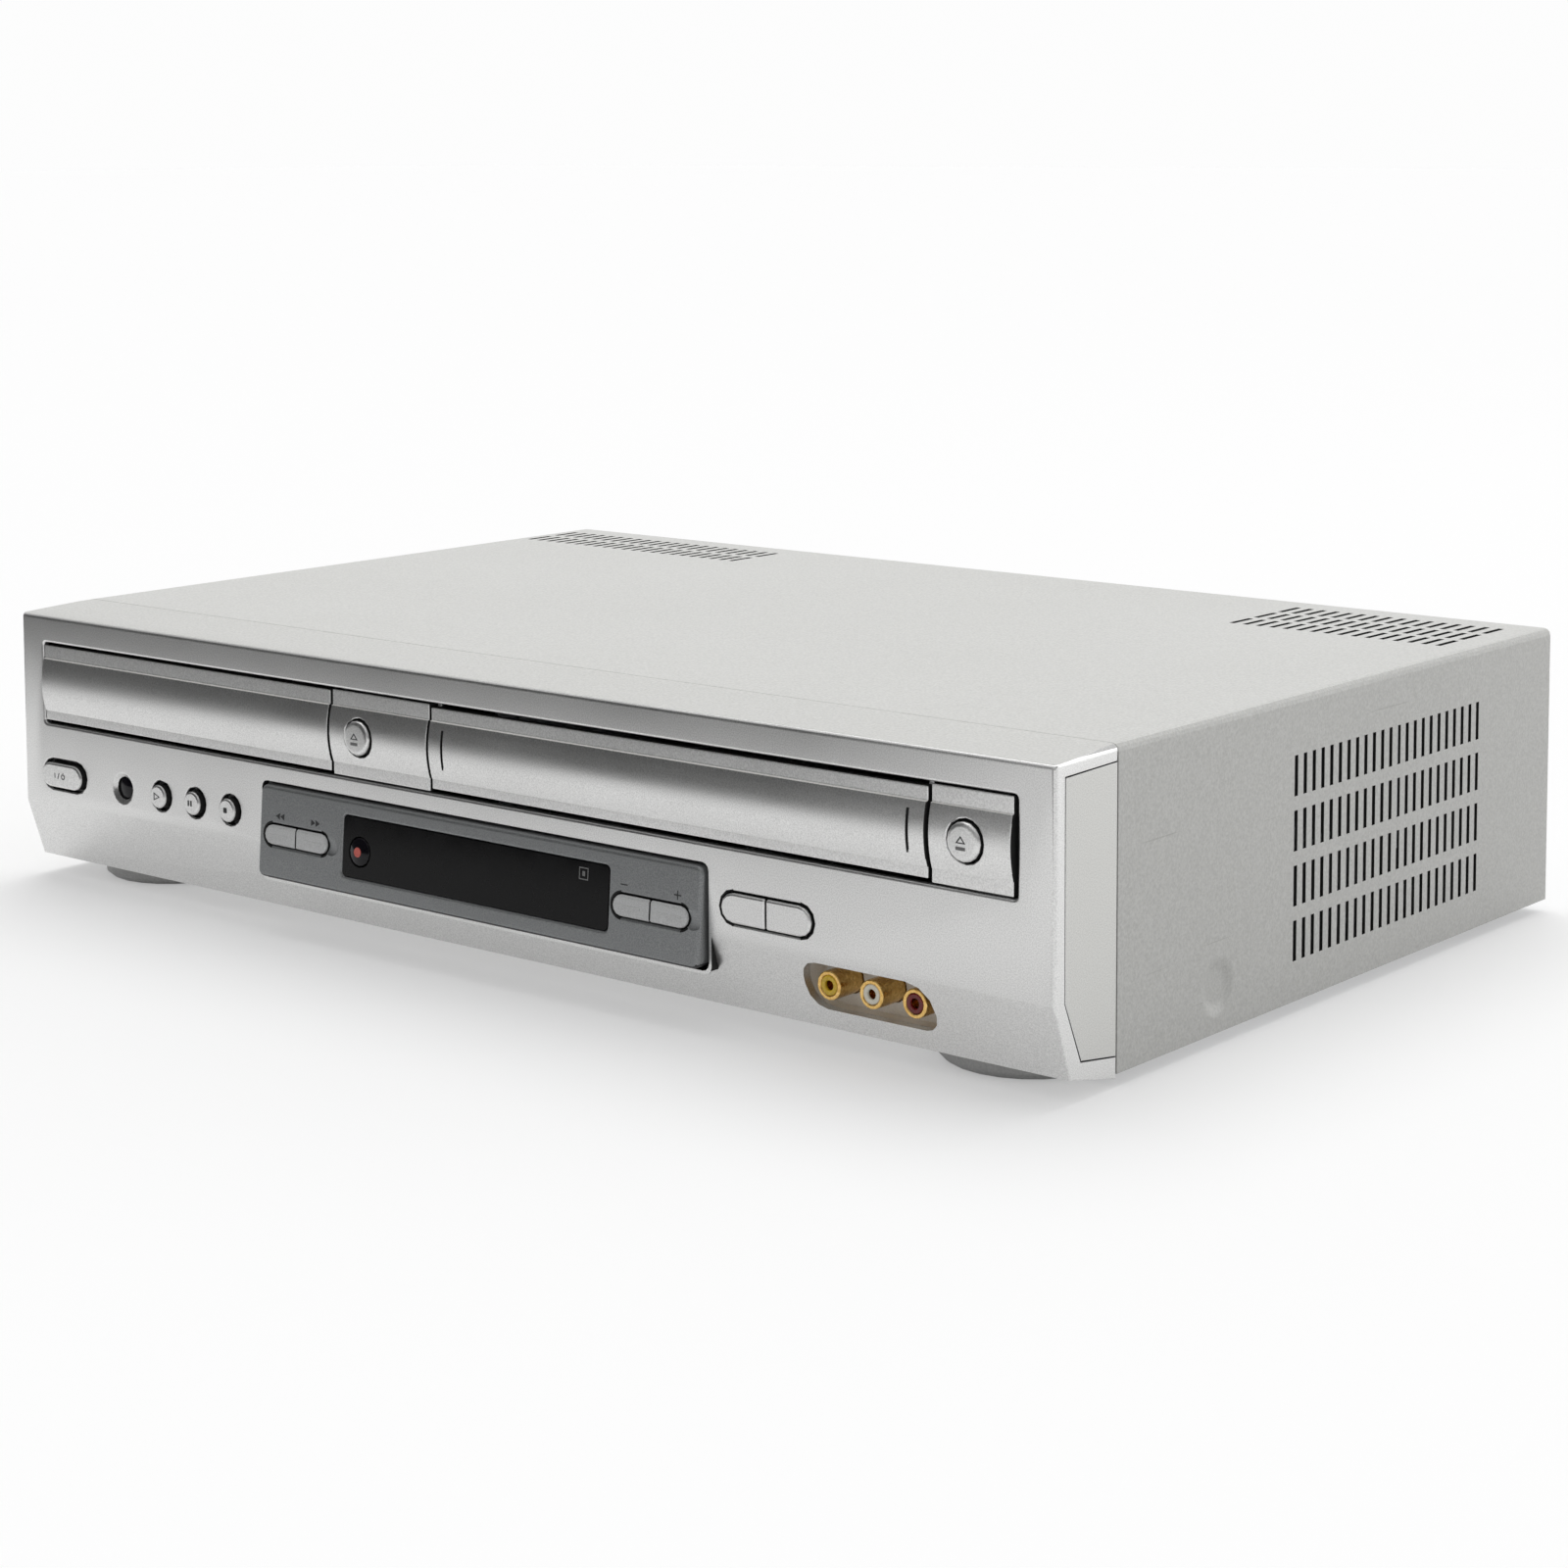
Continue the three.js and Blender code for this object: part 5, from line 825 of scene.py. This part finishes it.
def inner_face(at, out, corners):
    under_top = out.z < -0.5 and at.z < cover_top - 0.5 * MM
    inside_wall = out.x * at.x < -0.1 * MM and abs(at.x) < half_width - 0.5 * MM
    return under_top or inside_wall


def slot_wall(at, out, corners):
    through_side = abs(out.x) < 0.1 and 0 < half_width - abs(at.x) < sheet and 12 * MM < at.z < 85 * MM
    through_top = abs(out.z) < 0.1 and 0 < cover_top - at.z < sheet and abs(at.x) < 205 * MM
    return (through_side or through_top) and -110 * MM < at.y < 135 * MM


refinish("top_cover", "painted_shadow", inner_face)
refinish("top_cover", "painted_shadow", slot_wall)

# %% [markdown]
# ## Printed marks
#
# The keys carry the usual signs of any player. Each one starts as a flat circle or plane,
# is cut to shape in edit mode and gets the thickness of a coat of ink.

# %% Helpers for editing
ink = 0.04 * MM


def start_editing(piece):
    alone(piece)
    bpy.ops.object.mode_set(mode="EDIT")
    bpy.ops.mesh.select_mode(type="FACE")
    bpy.ops.mesh.select_all(action="SELECT")


def stop_editing(piece):
    bpy.ops.mesh.select_all(action="SELECT")
    bpy.ops.mesh.normals_make_consistent(inside=False)
    bpy.ops.object.mode_set(mode="OBJECT")
    return piece


def thicken(piece, depth):
    bpy.ops.mesh.select_all(action="SELECT")
    bpy.ops.mesh.extrude_region_move(TRANSFORM_OT_translate={"value": (0, 0, depth)})
    return stop_editing(piece)


# %% [markdown]
# A circle with three corners is a triangle and one with four a square, so one primitive
# starts most signs. An inset whose middle is deleted leaves an outline.

# %% Flat shapes
def start_shape(name, corners, radius, turn=0.0):
    bpy.ops.object.select_all(action="DESELECT")
    bpy.ops.mesh.primitive_circle_add(vertices=corners, radius=radius, fill_type="NGON",
                                      rotation=(0, 0, turn))
    piece = bpy.context.object
    piece.name = name
    bpy.ops.object.transform_apply(location=False, rotation=True, scale=True)
    return piece


def solid_shape(name, corners, radius, turn=0.0):
    piece = start_shape(name, corners, radius, turn)
    start_editing(piece)
    return thicken(piece, ink)


def start_outline(name, corners, radius, stroke, turn=0.0):
    piece = start_shape(name, corners, radius, turn)
    start_editing(piece)
    bpy.ops.mesh.inset(thickness=stroke)
    bpy.ops.mesh.delete(type="FACE")
    return piece


def outlined_shape(name, corners, radius, stroke, turn=0.0):
    return thicken(start_outline(name, corners, radius, stroke, turn), ink)


def bar(name, width, height, turn=0.0):
    bpy.ops.object.select_all(action="DESELECT")
    bpy.ops.mesh.primitive_plane_add(size=1, rotation=(0, 0, turn))
    piece = bpy.context.object
    piece.name = name
    piece.scale = (width, height, 1)
    bpy.ops.object.transform_apply(location=False, rotation=True, scale=True)
    start_editing(piece)
    bpy.ops.mesh.bevel(offset=min(width, height) * 0.15, affect="VERTICES", segments=2)
    return thicken(piece, ink)


# %% [markdown]
# What repeats within a sign is drawn once, copied with a mesh of its own and shifted. The
# strokes of a sign are then joined, so that it moves as one piece.

# %% Shift, copy and join
def shift(mark, x, y):
    mark.data.transform(Matrix.Translation((x, y, 0)))
    return mark


def copy_of(piece, name):
    twin = bpy.data.objects.new(name, piece.data.copy())
    bpy.context.scene.collection.objects.link(twin)
    return twin


def joined(name, parts):
    bpy.ops.object.select_all(action="DESELECT")
    for part in parts:
        part.select_set(True)
    bpy.context.view_layer.objects.active = parts[0]
    bpy.ops.object.join()
    whole = bpy.context.object
    whole.name = name
    return whole


# %% [markdown]
# A sign is drawn flat at the origin and then laid on its key. A ray from the front finds
# the real surface and the way it leans, so the ink never floats.

# %% Lay a sign on a key
def middle_of(name):
    low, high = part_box(name)
    return (low.x + high.x) / 2, (low.z + high.z) / 2


def touch_front(name, x, z):
    _, spot, out, _ = dressed[name].ray_cast(Vector((x, -0.3, z)), Vector((0, 1, 0)))
    return spot, out


def lay_on(mark, target, x, z, finish, sink=0.01 * MM):
    spot, out = touch_front(target, x, z)
    across = Vector((1, 0, 0))
    rise = out.cross(across).normalized()
    turn = Matrix((across, rise, out)).transposed().to_4x4()
    mark.data.transform(Matrix.Translation(spot - out * sink) @ turn)
    mark.data.materials.clear()
    mark.data.materials.append(finishes[finish])
    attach(mark, nodes[target]["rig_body"])
    return mark


# %% [markdown]
# Play is an outlined triangle, pause two bars and stop a filled square, each a little
# left of the middle of its cap as on the real keys.

# %% Signs on the round keys
line = 0.38 * MM

play = outlined_shape("play_sign", 3, 1.9 * MM, line, -quarter)
play.data.transform(Matrix.Diagonal((1.1, 0.85, 1, 1)))
play_x, key_z = middle_of("play_button")
lay_on(play, "play_button", play_x - 0.7 * MM, key_z, "black_print")

pause_x = middle_of("pause_button")[0]
left_bar = shift(bar("pause_left", 0.75 * MM, 1.9 * MM), -0.65 * MM, 0)
pause = joined("pause_sign", [left_bar, shift(copy_of(left_bar, "pause_right"), 1.3 * MM, 0)])
lay_on(pause, "pause_button", pause_x - 0.6 * MM, key_z, "black_print")

stop_x = middle_of("stop_button")[0]
lay_on(bar("stop_sign", 1.7 * MM, 1.8 * MM), "stop_button", stop_x - 0.4 * MM, key_z, "black_print")
print("signs on the round keys")

# %% [markdown]
# Power is a bar, a slanted stroke, and a ring that is broken at the top, where a short
# tick stands in the gap. The ring is an outline that loses its uppermost faces.

# %% Sign on the power key
def broken_ring(name, radius):
    piece = start_outline(name, 24, radius, line)
    bpy.ops.object.mode_set(mode="OBJECT")
    for face in piece.data.polygons:
        face.select = abs(face.center.x) < 0.4 * radius and face.center.y > 0
    alone(piece)
    bpy.ops.object.mode_set(mode="EDIT")
    bpy.ops.mesh.delete(type="FACE")
    return thicken(piece, ink)


power_x, power_z = middle_of("power_button")
power = joined("power_sign", [
    shift(bar("power_on", line, 1.8 * MM), -3.2 * MM, 0),
    shift(bar("power_stroke", line, 2.2 * MM, -0.35), -1.3 * MM, 0),
    shift(broken_ring("power_ring", 1.0 * MM), 1.1 * MM, -0.1 * MM),
    shift(bar("power_tick", line, 1.1 * MM), 1.1 * MM, 0.7 * MM),
])
lay_on(power, "power_button", power_x, power_z, "black_print")
print("sign on the power key")

# %% [markdown]
# The two eject keys show an outlined triangle over a short bar. They are drawn once for
# the disc and copied for the tape.

# %% Signs on the eject keys
peak = outlined_shape("disc_eject_triangle", 3, 1.75 * MM, line)
peak.data.transform(Matrix.Diagonal((1.1, 0.8, 1, 1)))
base = bar("disc_eject_bar", 3.2 * MM, 0.95 * MM)
eject_signs = {
    "disc_eject_button": (peak, base),
    "tape_eject_button": (copy_of(peak, "tape_eject_triangle"), copy_of(base, "tape_eject_bar")),
}
for name, (above, below) in eject_signs.items():
    x, z = middle_of(name)
    lay_on(above, name, x - 0.4 * MM, z + 0.35 * MM, "black_print")
    lay_on(below, name, x - 0.4 * MM, z - 1.7 * MM, "grey_print")
print("signs on the eject keys")

# %% [markdown]
# The seek and channel pills have their signs on the panel above them, because the keys
# themselves are narrow. Double arrows point the way that the tape runs.

# %% Signs above the panel keys
sign_lift = 6.1 * MM


def double_arrow(name, way):
    first = shift(solid_shape(name + "_first", 3, 1.25 * MM, -way * quarter), -1.05 * MM, 0)
    return joined(name, [first, shift(copy_of(first, name + "_second"), 2.1 * MM, 0)])


for name, way, nudge in (("rewind_button", -1, 0.2), ("forward_button", 1, 0.3)):
    x, z = middle_of(name)
    arrows = double_arrow(name.replace("button", "sign"), way)
    lay_on(arrows, "display_panel", x + nudge * MM, z + sign_lift, "black_print")

minus_x, channel_z = middle_of("channel_down_button")
plus_x = middle_of("channel_up_button")[0]
sign_z = channel_z + sign_lift
minus = bar("channel_minus", 2.7 * MM, line)
lay_on(minus, "display_panel", minus_x - 2.6 * MM, sign_z, "black_print")
across = bar("plus_across", 2.7 * MM, line)
upright = copy_of(across, "plus_upright")
upright.data.transform(Matrix.Rotation(quarter, 4, "Z"))
plus = joined("channel_plus", [across, upright])
lay_on(plus, "display_panel", plus_x + 2.2 * MM, sign_z, "black_print")
print("signs above the panel keys")

# %% [markdown]
# A small plain frame shows in the corner of the window, and the record key, which comes
# through the same window, has a red dot.

# %% Window frame and record dot
eighth = math.radians(45)
window_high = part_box("display_window")[1]
window_mark = joined("window_mark", [
    outlined_shape("window_frame", 4, 2.6 * MM, 0.35 * MM, eighth),
    bar("window_bar", 1.1 * MM, 1.5 * MM),
])
lay_on(window_mark, "display_window", window_high.x - 10.8 * MM, window_high.z - 4.3 * MM, "grey_print")
record_x, record_z = middle_of("record_button")
record_dot = solid_shape("record_dot", 32, 1.55 * MM)
lay_on(record_dot, "record_button", record_x - 0.2 * MM, record_z, "record_red")
print("printed marks laid")

# %% [markdown]
# ## Moulded details on the keys
#
# Each half of a pill on the panel has a low rib that the finger feels. The rib is a plane
# drawn out, rounded, copied four times and sunk a little into the keys.

# %% Ribs on the panel keys
rib_height = 0.4 * MM
bpy.ops.object.select_all(action="DESELECT")
bpy.ops.mesh.primitive_plane_add(size=1)
rib = bpy.context.object
rib.scale = (8.6 * MM, 0.8 * MM, 1)
bpy.ops.object.transform_apply(location=False, rotation=True, scale=True)
start_editing(rib)
thicken(rib, rib_height)
apply_modifier(rib, "BEVEL", "rounded", width=0.16 * MM, segments=3)
smooth(rib)
for name in panel_keys:
    x, z = middle_of(name)
    rise = (0.2 if name.startswith("channel") else 0.1) * MM
    one = copy_of(rib, name.replace("button", "rib"))
    lay_on(one, name, x, z, "key_paint", sink=rib_height - rise)
bpy.data.objects.remove(rib)
print("ribs on the panel keys")

# %% [markdown]
# The panel is hollowed at the right end of each pill, to let the fingertip in. A
# flattened ball, set on the face of the panel, is taken away from it by a boolean.

# %% Hollows in the panel
def hollow(target, x, z, radius, depth):
    carrier = dressed[target]
    spot = touch_front(target, x, z)[0]
    bpy.ops.object.select_all(action="DESELECT")
    bpy.ops.mesh.primitive_uv_sphere_add(segments=48, ring_count=24, radius=radius, location=spot)
    ball = bpy.context.object
    ball.scale = (1, depth / radius, 1)
    bpy.ops.object.transform_apply(location=True, rotation=True, scale=True)
    apply_modifier(carrier, "BOOLEAN", "hollow", object=ball, operation="DIFFERENCE", solver="EXACT")
    bpy.data.objects.remove(ball)
    smooth(carrier)
    print(target, "hollow at", round(x / MM, 1), len(carrier.data.polygons), "faces")


for name in ("forward_button", "channel_up_button"):
    right_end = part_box(name)[1].x
    hollow("display_panel", right_end + 0.6 * MM, middle_of(name)[1], 3.3 * MM, 0.7 * MM)

# %% [markdown]
# ## Sockets
#
# Each phono socket has a coloured insulator inside its gold shell, with a round lip. A
# short cylinder is inset on both caps and bridged through into a ring, and its rims are
# rounded.

# %% Rings
def ring(outer, inner, length, rounding):
    bpy.ops.object.select_all(action="DESELECT")
    bpy.ops.mesh.primitive_cylinder_add(vertices=48, radius=outer, depth=length,
                                        rotation=(quarter, 0, 0))
    piece = bpy.context.object
    bpy.ops.object.transform_apply(location=True, rotation=True, scale=True)
    for face in piece.data.polygons:
        face.select = abs(face.normal.y) > 0.9
    bpy.ops.object.mode_set(mode="EDIT")
    bpy.ops.mesh.select_mode(type="FACE")
    bpy.ops.mesh.inset(thickness=outer - inner, use_individual=True)
    bpy.ops.mesh.bridge_edge_loops()
    stop_editing(piece)
    apply_modifier(piece, "BEVEL", "rounded", width=rounding, segments=3, limit_method="ANGLE")
    smooth(piece)
    return piece


def place_ring(pattern, name, place, finish, body):
    one = copy_of(pattern, name)
    one.data.transform(Matrix.Translation(place))
    one.data.materials.clear()
    one.data.materials.append(finishes[finish])
    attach(one, body)


# %% [markdown]
# The insulator is modelled once and copied into the three front sockets. It fills the
# shallow seat at the mouth of the shell and stands no further forward than the shell.

# %% Insulators
insulator_length = 1.1 * MM
insulator_back = 1.12 * MM
insulator = ring(2.84 * MM, 1.4 * MM, insulator_length, 0.3 * MM)
for name, finish in (("video_jack", "yellow_plastic"), ("left_audio_jack", "cream_plastic"),
                     ("right_audio_jack", "red_plastic")):
    x, z = middle_of(name)
    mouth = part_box(name)[0].y
    place = (x, mouth + insulator_back - insulator_length / 2, z)
    place_ring(insulator, name.replace("jack", "insulator"), place, finish, nodes[name]["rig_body"])
bpy.data.objects.remove(insulator)
print("insulators in 3 front sockets")

# %% [markdown]
# At the rear the same ring is a collar round the shell. The sockets stand in rows of
# three, and the order of their colours is the common one: picture yellow, left white,
# right red, and green, blue and red for split pictures.

# %% Rear collars
socket_length = 7.5 * MM
socket_pitch = 14 * MM
row_pitch = 14.5 * MM
sockets_middle = 30.6 * MM
collar_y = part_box("rear_av_block")[1].y - socket_length + 0.65 * MM
collar = ring(5.2 * MM, 4.25 * MM, 1.2 * MM, 0.25 * MM)
picture_and_sound = ("yellow_plastic", "white_plastic", "red_plastic")
split_picture = ("green_plastic", "blue_plastic", "red_plastic")
socket_rows = {
    "rear_av_block": (picture_and_sound, picture_and_sound),
    "rear_component_block": (split_picture, picture_and_sound),
}
for block, rows in socket_rows.items():
    for row, colours in enumerate(rows):
        for column, finish in enumerate(colours):
            x = middle_of(block)[0] + (1 - column) * socket_pitch
            z = sockets_middle + (0.5 - row) * row_pitch
            place_ring(collar, f"{block}_collar_{row}_{column}", (x, collar_y, z), finish,
                       nodes[block]["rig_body"])
bpy.data.objects.remove(collar)
print("collars on 12 rear sockets")
